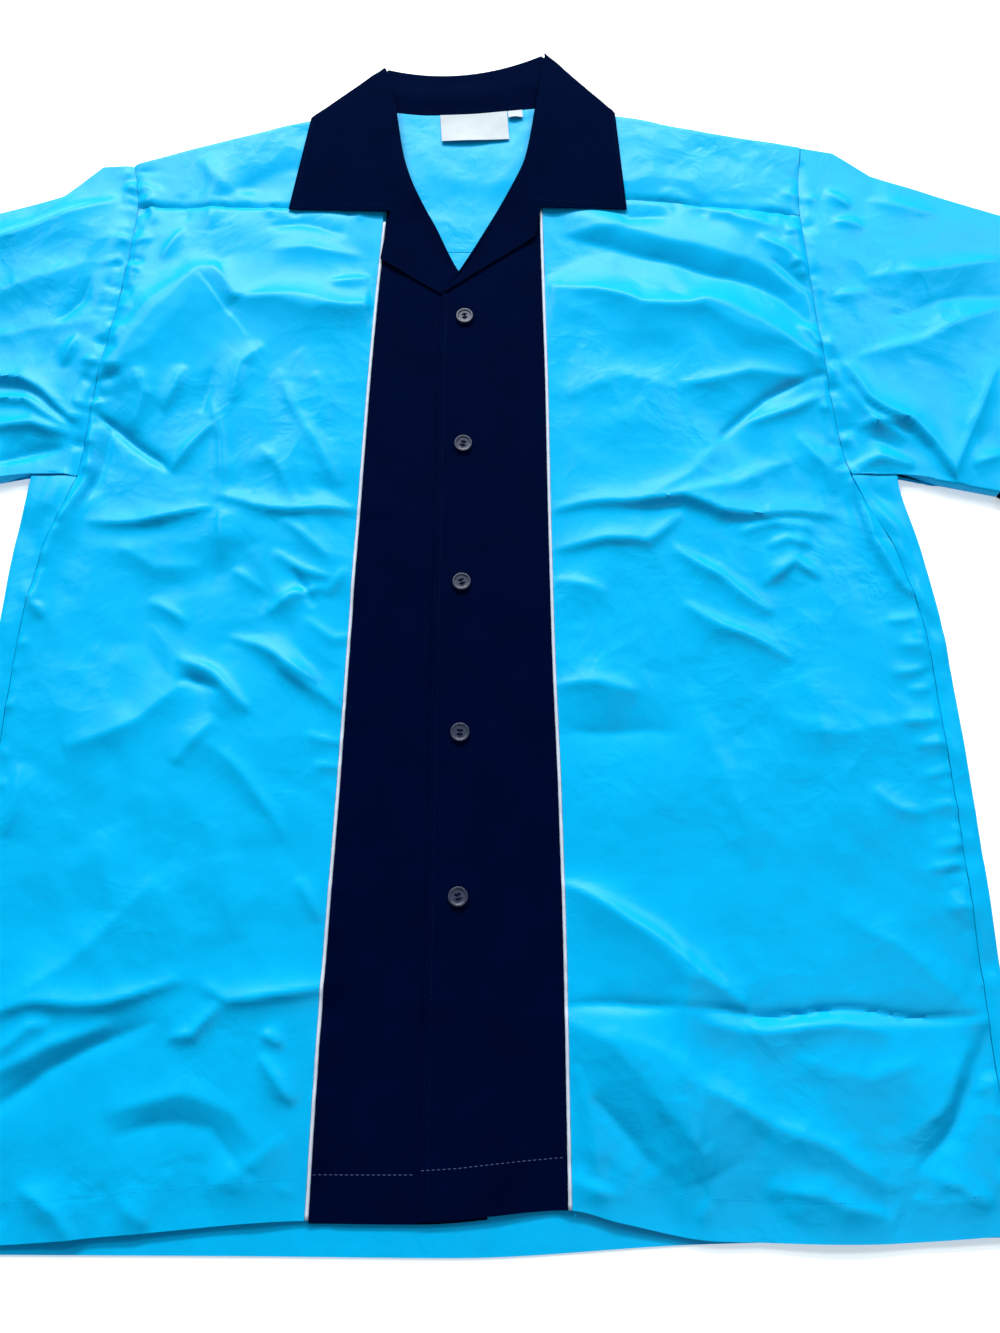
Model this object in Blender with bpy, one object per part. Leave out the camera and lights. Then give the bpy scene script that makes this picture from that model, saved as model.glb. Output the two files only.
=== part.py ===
"""A short-sleeved bowling shirt laid flat on its back, buttoned, front side up.

Each cut-and-sewn piece is its own object: a sheet through sections worked out from the
shirt's sizes, given its thickness by a Solidify modifier. Left and right are the wearer's,
so the wearer's left lies on +X. The plan is laid out in millimetres with the collar towards
+Y, y = 0 at the back hem and x = 0 on the button line; the finished pieces are then moved so
that the middle of the shirt's footprint is the origin, and stored in metres.
"""

import math
from collections import namedtuple

import bmesh
import bpy
from mathutils import Vector

MM = 0.001

# Driving dimensions, in millimetres.
CLOTH = 1.0  # thickness of every cloth wall
CLEAR = 0.3  # least distance between two pieces
SEAM_GAP = 0.6  # distance between two pieces across a seam
LAYER = CLOTH + CLEAR  # from the middle of one layer to the middle of the next
AIR = 0.9  # extra room between the back and the fronts, where nothing is folded
PIT_Y = 490.0  # height of the armpits above the back hem
BACK_YOKE_Y = 680.0  # seam between the back and the yoke
NECK_X = 60.0  # half the width of the neck hole
YOKE_FRONT_X = 63.0  # inner edge of the yoke where it comes over to the front
BREAK_Y = 641.0  # where the lapels start to turn out
GORGE_Y = 730.0  # where the collar's seam meets the roll line
PIPING_R = 1.1
PIPING_GAP = PIPING_R + 0.5  # from the piping's middle to the panels beside it
BUTTON_R = 6.2
BUTTON_THICK = 2.4
BUTTON_PITCH = 105.0
TOP_BUTTON_Y = 620.5
BUTTON_COUNT = 5
CUFF_DEPTH = 32.0
COLLAR_LIFT = 2.2  # from the middle of a front to the middle of the collar lying on it
ROLL_LIFT = 2.4  # extra height of the collar along its roll line

# Half widths of the body, one row for each height above the back hem.
Station = namedtuple("Station", "y side_left seam_left side_right seam_right piping_left piping_right")
BODY = [
    Station(-5, 334, 323, 318, 307, 66.2, 85.2),
    Station(140, 331, 319, 314, 302, 66.0, 82.0),
    Station(262, 327, 315, 311, 298, 64.4, 77.8),
    Station(360, 323, 311, 309, 295, 61.8, 75.0),
    Station(430, 315, 297, 307, 287, 60.8, 73.2),
    Station(490, 304, 271, 302, 270, 60.2, 71.2),
    Station(560, 304, 262, 302, 264, 59.8, 69.0),
    Station(640, 304, 257, 302, 254, 58.5, 65.5),
    Station(715, 304, 254, 302, 250, 57.3, 61.6),
    Station(780, 304, 260, 302, 262, 56.5, 60.5),
]

# The front edges, and above the break the roll line of the lapels and collar: distance out
# from the button line, which is negative where a front laps past it.
Roll = namedtuple("Roll", "y left right")
ROLL = [
    Roll(-5, -20.5, -19.0),
    Roll(600, -18.5, -17.5),
    Roll(BREAK_Y, -16.5, -14.0),
    Roll(650, -10.5, -6.0),
    Roll(660, -4.0, 4.5),
    Roll(700, 17.5, 23.0),
    Roll(735, 35.0, 39.8),
    Roll(762, 45.4, 47.9),
    Roll(812, 53.7, 56.0),
    Roll(870, 62.3, 68.5),
]

# Height of the hems and of the shoulder lines above the back hem.
Edge = namedtuple("Edge", "x y")
FRONT_HEM = [
    Edge(-320, 4), Edge(-260, 6), Edge(-180, 12), Edge(-85, 18.5), Edge(-20, 18),
    Edge(66, 24), Edge(95, 17.5), Edge(150, 8), Edge(230, 6.5), Edge(335, 12),
]
BACK_HEM = [Edge(-320, 1), Edge(-120, 0), Edge(0, -1), Edge(140, 6), Edge(335, 10)]
SHOULDER = [
    Edge(-262, 758), Edge(-200, 777.5), Edge(-121.5, 800.6), Edge(-60, 817),
    Edge(60, 817), Edge(116, 805.5), Edge(200, 787), Edge(260, 775),
]
YOKE_FRONT_SEAM = [Edge(-252, 718), Edge(-60, 719.5), Edge(60, 730), Edge(124, 726), Edge(253, 711)]
NECK_SEAM = [Edge(-60, 811), Edge(-30, 808), Edge(0, 809), Edge(30, 812), Edge(60, 815.5)]

# Where each sleeve's plan turns: one row a side, x as a distance out from the button line.
Sleeve = namedtuple("Sleeve", "shoulder crown upper cuff_top cuff_low under pit")
SLEEVES = {
    "left": Sleeve((260, 775), (284, 770), (311, 748), (468, 686), (372, 476), (331, 487), (307, 497)),
    "right": Sleeve((262, 758), (281, 757), (308, 729), (457, 676), (363, 478), (329, 487), (304.5, 495)),
}

# Corners of the collar and lapels, x as a distance out from the button line.
Collar = namedtuple("Collar", "corner shoulder tip notch lapel_tip lapel_low")
COLLARS = {
    "left": Collar((62.3, 869), (116, 808.8), (122.4, 715), (56.6, 717), (52.5, 691), (-14.5, 642)),
    "right": Collar((66.4, 854), (121.5, 803.8), (134.7, 715), (57.4, 713.5), (63.7, 671), (17.8, 640.8)),
}
COLLAR_BACK_MID_Y = 842.0  # the roll line behind the neck, at the middle
COLLAR_FALL_MID_Y = 772.0  # outer edge of the collar behind the neck, at the middle

# The largest folds of the fronts and sleeves: a soft ridge (or trough, if its height is
# negative) between two points, with the half width of its cross-section.
Fold = namedtuple("Fold", "x0 y0 x1 y1 height half_width")
FOLDS = [
    Fold(85, 640, 200, 634, 1.8, 16),
    Fold(190, 636, 262, 585, 1.7, 15),
    Fold(165, 694, 256, 640, 1.7, 16),
    Fold(80, 489, 255, 487, 1.6, 15),
    Fold(150, 560, 262, 520, 1.3, 20),
    Fold(130, 430, 205, 382, 1.2, 17),
    Fold(84, 205, 168, 142, 1.7, 16),
    Fold(80, 124, 152, 38, 2.0, 18),
    Fold(185, 76, 262, 30, 1.6, 18),
    Fold(230, 330, 245, 180, 1.2, 28),
    Fold(-262, 534, -214, 502, 1.4, 15),
    Fold(-214, 505, -160, 610, 1.5, 18),
    Fold(-240, 472, -84, 482, 1.4, 15),
    Fold(-150, 376, -96, 334, 1.8, 15),
    Fold(-196, 350, -132, 312, 1.7, 16),
    Fold(-265, 120, -150, 146, 1.7, 16),
    Fold(-268, 52, -190, 96, 1.6, 22),
    Fold(-150, 100, -100, 30, 1.5, 20),
    Fold(-245, 330, -225, 180, 1.1, 28),
    Fold(-230, 700, -120, 665, 1.4, 20),
    Fold(280, 545, 352, 486, 2.2, 17),
    Fold(275, 700, 400, 640, 1.3, 24),
    Fold(-280, 560, -345, 500, 2.1, 17),
    Fold(-238, 4, -238, 40, 2.0, 34),
    Fold(-130, 8, -130, 60, 1.5, 30),
    Fold(112, 8, 112, 50, 1.8, 26),
    Fold(-275, 690, -400, 640, 1.3, 24),
]
SWELL = 0.7  # soft rise of the cloth between the folds
SWELL_LENGTH = 230.0

# Colour, roughness and metallic value of each finish.
Finish = namedtuple("Finish", "colour roughness metallic")
FINISHES = {
    "turquoise_cloth": Finish((0.003, 0.46, 0.85, 1), 0.62, 0.0),
    "navy_cloth": Finish((0.004, 0.006, 0.022, 1), 0.75, 0.0),
    "piping_cloth": Finish((0.62, 0.63, 0.66, 1), 0.55, 0.0),
    "label_cloth": Finish((0.86, 0.87, 0.88, 1), 0.6, 0.0),
    "button_plastic": Finish((0.10, 0.11, 0.17, 1), 0.25, 0.0),
}


def smooth(t):
    """0 to 1 with level ends."""
    t = min(1.0, max(0.0, t))
    return t * t * (3 - 2 * t)


def along(rows, key, value, at):
    """The value column of a table at a place in its key column, on a smooth curve through the rows."""
    places = [getattr(row, key) for row in rows]
    values = [getattr(row, value) for row in rows]
    at = min(places[-1], max(places[0], at))
    i = max(n for n in range(len(places) - 1) if places[n] <= at)
    steps = [(values[n + 1] - values[n]) / (places[n + 1] - places[n]) for n in range(len(places) - 1)]

    def slope(n):
        if n in (0, len(places) - 1) or steps[n - 1] * steps[n] <= 0:
            return 0.0 if 0 < n < len(places) - 1 else steps[min(n, len(steps) - 1)]
        return 2 * steps[n - 1] * steps[n] / (steps[n - 1] + steps[n])

    span = places[i + 1] - places[i]
    t = (at - places[i]) / span
    return (
        values[i] * (1 + 2 * t) * (1 - t) ** 2
        + slope(i) * span * t * (1 - t) ** 2
        + values[i + 1] * t * t * (3 - 2 * t)
        + slope(i + 1) * span * t * t * (t - 1)
    )


def seam_stations(low, high, count):
    """Heights at which every piece along a side or armhole seam has a row of points."""
    return [low + (high - low) * n / count for n in range(count + 1)]


BELOW_PIT = seam_stations(0, PIT_Y - SEAM_GAP / 2, 12)
ARMHOLE = seam_stations(PIT_Y + SEAM_GAP / 2, 711.0, 6)
BACK_ARMHOLE = [PIT_Y + SEAM_GAP / 2 + rise for rise in (0, 10, 20, 32, 45)]
BACK_ARMHOLE += seam_stations(BACK_ARMHOLE[-1], BACK_YOKE_Y - SEAM_GAP / 2, 3)[1:]
YOKE_ARMHOLE = seam_stations(BACK_YOKE_Y + SEAM_GAP / 2, 756.0, 3)


def sign(side):
    return 1 if side == "left" else -1


def seam_x(side, y):
    """Half width at the side seam, and above the armpit at the armhole seam."""
    return along(BODY, "y", "seam_" + side, y)


def side_x(side, y):
    """Half width at the outermost fold, below the armpit."""
    return along(BODY, "y", "side_" + side, y)


def back_armhole_x(side, y):
    """Half width of the back above the armpit, where its armhole curves in."""
    room = side_x(side, PIT_Y) - seam_x(side, PIT_Y) - 2
    return seam_x(side, y) + room * (1 - smooth((y - PIT_Y) / 45))


def piping_x(side, y):
    return along(BODY, "y", "piping_" + side, y)


def roll_x(side, y):
    return along(ROLL, "y", side, y)


def edge_y(rows, x):
    return along(rows, "x", "y", x)


def fold_height(fold, x, y):
    """Height that one soft fold adds at a point of the plan."""
    dx, dy = fold.x1 - fold.x0, fold.y1 - fold.y0
    t = ((x - fold.x0) * dx + (y - fold.y0) * dy) / (dx * dx + dy * dy)
    nearest = min(1.0, max(0.0, t))
    away = math.hypot(x - fold.x0 - nearest * dx, y - fold.y0 - nearest * dy)
    return fold.height * math.exp(-((away / fold.half_width) ** 2))


def back_height(x, y):
    """Middle of the back's cloth: on the floor, and over the collar's fall behind the neck."""
    rise = smooth((y - 718) / 30) * (1 - smooth((abs(x) - 128) / 40))
    return CLOTH / 2 + LAYER * rise


def front_height(x, y):
    """Middle of the fronts' cloth: over the back, with the folds faded out at the centre panels."""
    calm = smooth((abs(x) - 66) / 22)
    quiet_neck = 1 - smooth((y - 690) / 40) * (1 - smooth((abs(x) - 125) / 45))
    swell = SWELL * (0.5 + 0.5 * math.sin(2 * math.pi * (y + 0.35 * x) / SWELL_LENGTH))
    highest = max(fold_height(fold, x, y) for fold in FOLDS)
    return back_height(x, y) + LAYER + AIR + (swell + highest) * calm * quiet_neck


def collar_height(side, x, y):
    """Middle of the collar's cloth on the fronts, highest along the roll line."""
    over = COLLAR_LIFT + ROLL_LIFT * (1 - smooth((abs(x) - roll_x(side, y)) / 26))
    return CLOTH / 2 + LAYER + (LAYER + AIR) + over * (1 - 0.35 * smooth((y - 815) / 40))


def clear_scene():
    for obj in list(bpy.data.objects):
        bpy.data.objects.remove(obj)


def finish(name):
    material = bpy.data.materials.new(name)
    material.use_nodes = True
    shader = material.node_tree.nodes["Principled BSDF"]
    shader.inputs["Base Color"].default_value = FINISHES[name].colour
    shader.inputs["Roughness"].default_value = FINISHES[name].roughness
    shader.inputs["Metallic"].default_value = FINISHES[name].metallic
    material.diffuse_color = FINISHES[name].colour
    return material


def new_object(name, data, material):
    obj = bpy.data.objects.new(name, data)
    bpy.context.scene.collection.objects.link(obj)
    obj.data.materials.append(material)
    return obj


def sheet(name, rows, material, closed=False, thickness=CLOTH):
    """A cloth piece through rows of points; None in a row leaves a hole in the grid."""
    shape = bmesh.new()
    grid = [[shape.verts.new(Vector(p) * MM) if p else None for p in row] for row in rows]
    count = len(grid[0])
    for low, high in zip(grid, grid[1:]):
        for n in range(count if closed else count - 1):
            corners = [low[n], low[(n + 1) % count], high[(n + 1) % count], high[n]]
            if all(corners):
                shape.faces.new(corners)
    mesh = bpy.data.meshes.new(name)
    shape.to_mesh(mesh)
    shape.free()
    obj = new_object(name, mesh, material)
    wall = obj.modifiers.new("Wall", "SOLIDIFY")
    wall.thickness = thickness * MM
    wall.offset = 0
    mesh.shade_smooth()
    return obj


def shares(count):
    return [n / count for n in range(count + 1)]


def bend(low, high, out, steps=4):
    """Points round the fold between two layers, from the lower point to the one above it."""
    low, high = Vector(low), Vector(high)
    radius = (high - low).length / 2
    middle = (low + high) / 2
    points = []
    for n in range(1, steps):
        angle = math.pi * n / steps - math.pi / 2
        points.append(middle + Vector(out) * radius * math.cos(angle) + (high - low) / 2 * math.sin(angle))
    return [tuple(p) for p in points]


def back(material):
    """The back: on the floor, turned up at both sides and brought round to the side seams."""
    rows = []
    for station in BELOW_PIT + BACK_ARMHOLE:
        row = [back_edge_points(side, station) for side in ("right", "left")]
        left, right = row[1][0], row[0][0]
        middle = []
        for t in shares(13)[1:-1]:
            x = right[0] + (left[0] - right[0]) * t
            y = back_row_y(station, x)
            middle.append((x, y, back_height(x, y)))
        rows.append(row[0][::-1] + middle + row[1])
    return sheet("back", rows, material)


def back_row_y(station, x):
    """The height at x of the back's row of points that meets the side seam at this station."""
    if station > PIT_Y:
        return station
    hem = edge_y(BACK_HEM, x)
    return hem + (BELOW_PIT[-1] - hem) * station / BELOW_PIT[-1]


def back_edge_points(side, station):
    """From the floor at one side: the fold, and the strip that reaches the side seam in front."""
    s = sign(side)
    y = back_row_y(station, s * 300)
    if station > PIT_Y:
        x = s * (back_armhole_x(side, y) - SEAM_GAP / 2)
        return [(x, y, back_height(x, y))] + [None] * 6
    seam = seam_x(side, y) + SEAM_GAP / 2
    out = side_x(side, y)
    top_z = front_height(s * (out - 3), y)
    radius = (top_z - CLOTH / 2) / 2
    turn = out - radius - CLOTH / 2
    seam = min(seam, turn - 1.5)
    low = (s * turn, y, CLOTH / 2)
    high = (s * turn, y, top_z)
    strip = []
    for t in (0.5, 1.0):
        x = turn + (seam - turn) * t
        z = front_height(s * x, y) * smooth(t + 0.2) + top_z * (1 - smooth(t + 0.2))
        strip.append((s * x, y, z))
    return [low] + bend(low, high, (s, 0, 0)) + [high] + strip


def yoke(material):
    """The yoke: behind the neck on the back, and over both shoulders to the front seams."""
    columns = []
    for side, steps in (("right", shares(7)[::-1]), ("left", shares(7))):
        columns += [(side, t) for t in steps]
        if side == "right":
            columns += [(None, x) for x in neck_places()]
    grid = [yoke_column(side, t) for side, t in columns]
    rows = [[column[n] for column in grid] for n in range(len(grid[0]))]
    return sheet("yoke", rows, material)


def neck_places():
    """Distances from the button line of the points along the neck seam."""
    return [stand_seam_x(row[0][0]) for row in fall_rows()]


def yoke_column(side, t):
    """One section of the yoke, from the back seam over the shoulder to the front seam."""
    low_y = BACK_YOKE_Y + SEAM_GAP / 2
    if side is None:
        x = t
        top = edge_y(NECK_SEAM, x) - SEAM_GAP / 2
        back_part = [(x, low_y + (top - low_y) * v) for v in shares(5)]
        return [(px, py, back_height(px, py)) for px, py in back_part] + [None] * 6
    s = sign(side)

    def across(y, inner):
        return s * (inner + (seam_x(side, y) - SEAM_GAP / 2 - inner) * t)

    fold_x = across(765, NECK_X)
    fold_y = edge_y(SHOULDER, fold_x)
    seam_y = edge_y(YOKE_FRONT_SEAM, across(720, YOKE_FRONT_X)) + SEAM_GAP / 2
    radius = (LAYER + AIR) / 2
    turn_y = fold_y - radius - CLOTH / 2
    points = []
    for v in shares(5):
        y = low_y + (turn_y - low_y) * v
        x = across(min(y, 775), NECK_X) * v + across(y, NECK_X) * (1 - v)
        points.append((x, y, back_height(x, y)))
    low = points[-1]
    inner_x = across(turn_y, NECK_X if t else NECK_X)
    high = (inner_x, turn_y, front_height(inner_x, turn_y))
    points += bend(low, high, (0, 1, 0)) + [high]
    for v in (0.5, 1.0):
        y = turn_y + (seam_y - turn_y) * v
        x = across(y, NECK_X + (YOKE_FRONT_X - NECK_X) * v)
        points.append((x, y, front_height(x, y)))
    return points


def front_side(side, material):
    """A turquoise side panel, from the piping seam to the side and armhole seams."""
    s = sign(side)
    rows = []
    for station in BELOW_PIT + ARMHOLE[1:]:
        outer_x = s * seam_x(side, station)
        low, high = edge_y(FRONT_HEM, outer_x), edge_y(YOKE_FRONT_SEAM, outer_x) - SEAM_GAP / 2
        outer_y = station if station > PIT_Y else back_row_y(station, s * 300)
        v = (outer_y - low) / (high - low)
        v = 0 if station == BELOW_PIT[0] else 1 if station == ARMHOLE[-1] else v
        row = []
        for u in shares(9):
            y = low + (high - low) * v
            for _ in range(4):
                inner = piping_x(side, y) + PIPING_GAP
                x = s * (inner + (seam_x(side, y) - SEAM_GAP / 2 - inner) * u)
                hem = edge_y(FRONT_HEM, x)
                top = edge_y(YOKE_FRONT_SEAM, x) - SEAM_GAP / 2
                y = hem + (top - hem) * v
            row.append((x, y, front_height(x, y)))
        rows.append(row)
    return sheet(f"front_{side}_side", rows, material)


def centre_layer(side, x):
    """How far a centre panel lies above the fronts' level: the left one laps over the right."""
    if side == "right":
        return 0.0
    return LAYER * (1 - min(1, max(0, (x - 24) / 32)))


def front_centre(side, material):
    """A navy centre panel, from the piping seam to the button edge and up the roll line."""
    s = sign(side)
    rows = []
    for v in shares(26):
        row = []
        for u in shares(6):
            y = 20 + 700 * v
            for _ in range(4):
                outer = piping_x(side, y) - PIPING_GAP
                inner = roll_x(side, y)
                x = s * (inner + (outer - inner) * u)
                hem = edge_y(FRONT_HEM, x) - (1.5 if side == "right" else 0)
                top = edge_y(YOKE_FRONT_SEAM, s * YOKE_FRONT_X) - SEAM_GAP / 2
                y = hem + (top - hem) * v
            row.append((x, y, front_height(x, y) + centre_layer(side, x)))
        rows.append(row)
    return sheet(f"front_{side}_centre", rows, material)


def lapel(side, material):
    """The top of a front facing, turned out over its centre panel along the roll line. The right
    one stops at the edge of the left front, which laps over it."""
    s = sign(side)
    corners = COLLARS[side]
    low = BREAK_Y + (3 if side == "left" else 19.5)
    high = GORGE_Y - SEAM_GAP - 0.2
    notch = (corners.notch[0], corners.notch[1] - SEAM_GAP - 0.2)
    outline = through([corners.lapel_low, corners.lapel_tip, notch])
    rows = []
    for v in shares(8):
        y_in = low + (high - low) * v
        inner = (roll_x(side, y_in) + 0.6, y_in)
        outer = outline(v)
        row = []
        for u in shares(4):
            x, y = mix(inner, outer, u)
            x = s * x
            lift = LAYER + 0.3 + PIPING_R * smooth((abs(x) - 40) / 12)
            row.append((x, y, front_height(x, y) + centre_layer(side, x) + lift))
        rows.append(row)
    return sheet(f"lapel_{side}", rows, material)


def mix(a, b, t):
    return tuple(p + (q - p) * t for p, q in zip(a, b))


def collar_front_row(side, a):
    """One row across the collar on the front: a is 0 at the points and 1 at the shoulder fold."""
    c = COLLARS[side]
    gorge = (roll_x(side, GORGE_Y), GORGE_Y)
    y_roll = GORGE_Y + (c.corner[1] - GORGE_Y) * a
    inner = (roll_x(side, y_roll) if a < 1 else c.corner[0], y_roll)
    chord = mix(gorge, c.corner, a)
    row = []
    for w in shares(5):
        low = mix(gorge, c.notch, w / 0.2) if w <= 0.2 else mix(c.notch, c.tip, (w - 0.2) / 0.8)
        x, y = mix(low, mix(c.corner, c.shoulder, w), a)
        x, y = x + (inner[0] - chord[0]) * (1 - w), y + (inner[1] - chord[1]) * (1 - w)
        row.append((sign(side) * x, y, collar_height(side, x, y)))
    return row


def collar_fall_row(t):
    """One row across the collar behind the neck: t is 0 at the right shoulder and 1 at the left."""
    right, left = COLLARS["right"], COLLARS["left"]
    bow = 4 * t * (1 - t)
    roll = mix((-right.corner[0], right.corner[1]), left.corner, t)
    edge = mix((-right.shoulder[0], right.shoulder[1]), left.shoulder, t)
    roll_y = roll[1] + (COLLAR_BACK_MID_Y - (right.corner[1] + left.corner[1]) / 2) * bow
    edge_mid = (right.shoulder[1] + left.shoulder[1]) / 2
    edge_line = edge[1] + (COLLAR_FALL_MID_Y - edge_mid) * bow
    return [(*mix((roll[0], roll_y), (edge[0], edge_line), w), CLOTH / 2) for w in shares(5)]


def collar(material):
    """The collar: its points on the fronts, folded at the shoulders to the fall behind the neck,
    and the stand that comes back from the fall's roll line to the neck seam."""
    leaf = []
    for side in ("right", "left"):
        front = [collar_front_row(side, a) for a in shares(6)]
        fall_row = collar_fall_row(0 if side == "right" else 1)
        turn = turned_rows(side, front[-1], fall_row)
        leaf.append(front + turn)
    turned_in = fall_rows()
    rows = leaf[0] + turned_in + leaf[1][::-1]
    first = len(leaf[0])
    stand = {first + n: stand_points(row) for n, row in enumerate(turned_in)}
    full = [stand.get(n, [None] * 5) + row for n, row in enumerate(rows)]
    return sheet("collar", full, material)


def turned_rows(side, top_row, low_row):
    """Rows round the collar's fold at the shoulder, between the front leaf and the fall."""
    c = COLLARS[side]
    s = sign(side)
    out = Vector((s * (c.corner[1] - c.shoulder[1]), c.shoulder[0] - c.corner[0], 0)).normalized()
    columns = []
    for high, low in zip(top_row, low_row):
        radius = (high[2] - low[2]) / 2
        inset = out * (radius + CLOTH / 2)
        high_in = Vector(high) - inset
        low_in = Vector((high[0], high[1], low[2])) - inset
        columns.append([tuple(high_in)] + bend(low_in, high_in, out)[::-1])
    return [[column[n] for column in columns] for n in range(len(columns[0]))][0:]


def pulled_in(side):
    """The end row of the fall, drawn in by the radius of the shoulder fold."""
    c = COLLARS[side]
    s = sign(side)
    out = Vector((s * (c.corner[1] - c.shoulder[1]), c.shoulder[0] - c.corner[0], 0)).normalized()
    top = collar_front_row(side, 1)
    row = []
    for high in top:
        radius = (high[2] - CLOTH / 2) / 2
        p = Vector((high[0], high[1], CLOTH / 2)) - out * (radius + CLOTH / 2)
        row.append(tuple(p))
    return row


def fall_rows():
    """The rows of the collar's fall behind the neck, from the right shoulder to the left."""
    return [pulled_in("right")] + [collar_fall_row(t) for t in shares(8)[1:-1]] + [pulled_in("left")]


def stand_seam_x(roll_x_here):
    return roll_x_here * 0.86


def stand_points(fall_row):
    """From the neck seam up to the roll line, and round it to the start of the fall."""
    roll = fall_row[0]
    x_seam = stand_seam_x(roll[0])
    seam = (x_seam, edge_y(NECK_SEAM, x_seam) + SEAM_GAP / 2, CLOTH / 2 + LAYER)
    top = (roll[0], roll[1], CLOTH / 2 + LAYER)
    turn = bend(roll, top, (0, 1, 0), steps=3)
    return [seam, mix(seam, top, 0.55), top] + turn[::-1]


def coons(start, end, low, high, s, t):
    """A point of the patch between two end curves (over t) and two side curves (over s)."""
    def blend(n):
        sides = low(s)[n] * (1 - t) + high(s)[n] * t
        ends = start(t)[n] * (1 - s) + end(t)[n] * s
        corners = (
            low(0)[n] * (1 - s) * (1 - t) + low(1)[n] * s * (1 - t)
            + high(0)[n] * (1 - s) * t + high(1)[n] * s * t
        )
        return sides + ends - corners

    return blend(0), blend(1)


def through(points):
    """A curve of straight runs through points, by share of its length."""
    lengths = [math.dist(a, b) for a, b in zip(points, points[1:])]

    def at(t):
        left = t * sum(lengths)
        for a, b, length in zip(points, points[1:], lengths):
            if left <= length or b == points[-1]:
                return mix(a, b, min(1.0, left / length))
            left -= length

    return at


def arm_points(side, low_heights, half_width):
    """Points of an armhole seam from the armpit to the shoulder, as distances out."""
    p = SLEEVES[side]
    return [p.pit] + [(half_width(side, y) + SEAM_GAP / 2, y) for y in low_heights] + [p.shoulder]


def length_shares(points):
    """How far along a run of points each of them lies, from 0 to 1."""
    lengths = [math.dist(a, b) for a, b in zip(points, points[1:])]
    return [sum(lengths[:n]) / sum(lengths) for n in range(len(points))]


def sleeve_sheet(name, side, arms, low, high, steps, material):
    """A closed flattened tube between two end curves for the front and two for the back."""
    cuff_end = through([low(1), high(1)])
    plans = [lambda s, t, arm=through(arm): coons(arm, cuff_end, low, high, s, t) for arm in arms]
    rows = [sleeve_ring(side, plans, [length_shares(arm) for arm in arms], s) for s in shares(steps)]
    return sheet(name, rows, material, closed=True)


def sleeve_ring(side, plans, places, s):
    """One closed section of a sleeve: up the front, over the top fold, down the back."""
    sg = sign(side)
    low_edge, high_edge = plans[0](s, 0), plans[0](s, 1)
    width = math.dist(low_edge, high_edge)
    across = ((high_edge[0] - low_edge[0]) / width, (high_edge[1] - low_edge[1]) / width)
    inset = ((LAYER + AIR) / 2 + CLOTH / 2) / width
    front, rear = [], []
    for layer, plan, shares_across in zip((front, rear), plans, places):
        for t in shares_across:
            x, y = plan(s, min(1 - inset, max(inset, t)))
            floor = back_height(sg * x, y)
            if layer is front:
                ends = smooth(min(t, 1 - t) / 0.15)
                floor += LAYER + AIR + (front_height(sg * x, y) - floor - LAYER - AIR) * ends
            layer.append((sg * x, y, floor))
    out = (sg * across[0], across[1], 0)
    top = bend(rear[-1], front[-1], out)[::-1]
    bottom = bend(rear[0], front[0], (-out[0], -out[1], 0))
    return front + top + rear[::-1] + bottom


def sleeve(side, material):
    p = SLEEVES[side]
    arms = [arm_points(side, ARMHOLE, seam_x), arm_points(side, BACK_ARMHOLE + YOKE_ARMHOLE, back_armhole_x)]
    low, high = through([p.pit, p.under, p.cuff_low]), through([p.shoulder, p.crown, p.upper, p.cuff_top])
    return sleeve_sheet(f"sleeve_{side}", side, arms, low, high, 7, material)


def cuff(side, material):
    """The navy band at the end of a sleeve."""
    p = SLEEVES[side]
    width = math.dist(p.cuff_low, p.cuff_top)
    up = ((p.cuff_top[0] - p.cuff_low[0]) / width, (p.cuff_top[1] - p.cuff_low[1]) / width)
    out = (up[1], -up[0])

    def corner(base, far, along_up=0.0):
        return base[0] + out[0] * far + up[0] * along_up, base[1] + out[1] * far + up[1] * along_up

    near, far = SEAM_GAP + 0.2, CUFF_DEPTH
    low = through([corner(p.cuff_low, near), corner(p.cuff_low, far, -2)])
    high = through([corner(p.cuff_top, near), corner(p.cuff_top, far, 1)])
    arm = [mix(low(0), high(0), t) for t in shares(8)]
    return sleeve_sheet(f"cuff_{side}", side, [arm, arm], low, high, 2, material)


def piping(side, material):
    """The piping cord in the seam between a centre panel and a side panel."""
    s = sign(side)
    bottom = edge_y(FRONT_HEM, s * piping_x(side, 20))
    top = edge_y(YOKE_FRONT_SEAM, s * YOKE_FRONT_X) - 14
    curve = bpy.data.curves.new(f"piping_{side}", "CURVE")
    curve.dimensions = "3D"
    curve.bevel_depth = PIPING_R * MM
    curve.bevel_resolution = 1
    curve.use_fill_caps = True
    line = curve.splines.new("POLY")
    steps = shares(26)
    line.points.add(len(steps) - 1)
    for point, t in zip(line.points, steps):
        y = bottom + (top - bottom) * t
        x = s * piping_x(side, y)
        place = Vector((x, y, front_height(x, y) + 0.15)) * MM
        point.co = (*place, 1)
    return new_object(f"piping_{side}", curve, material)


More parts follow.
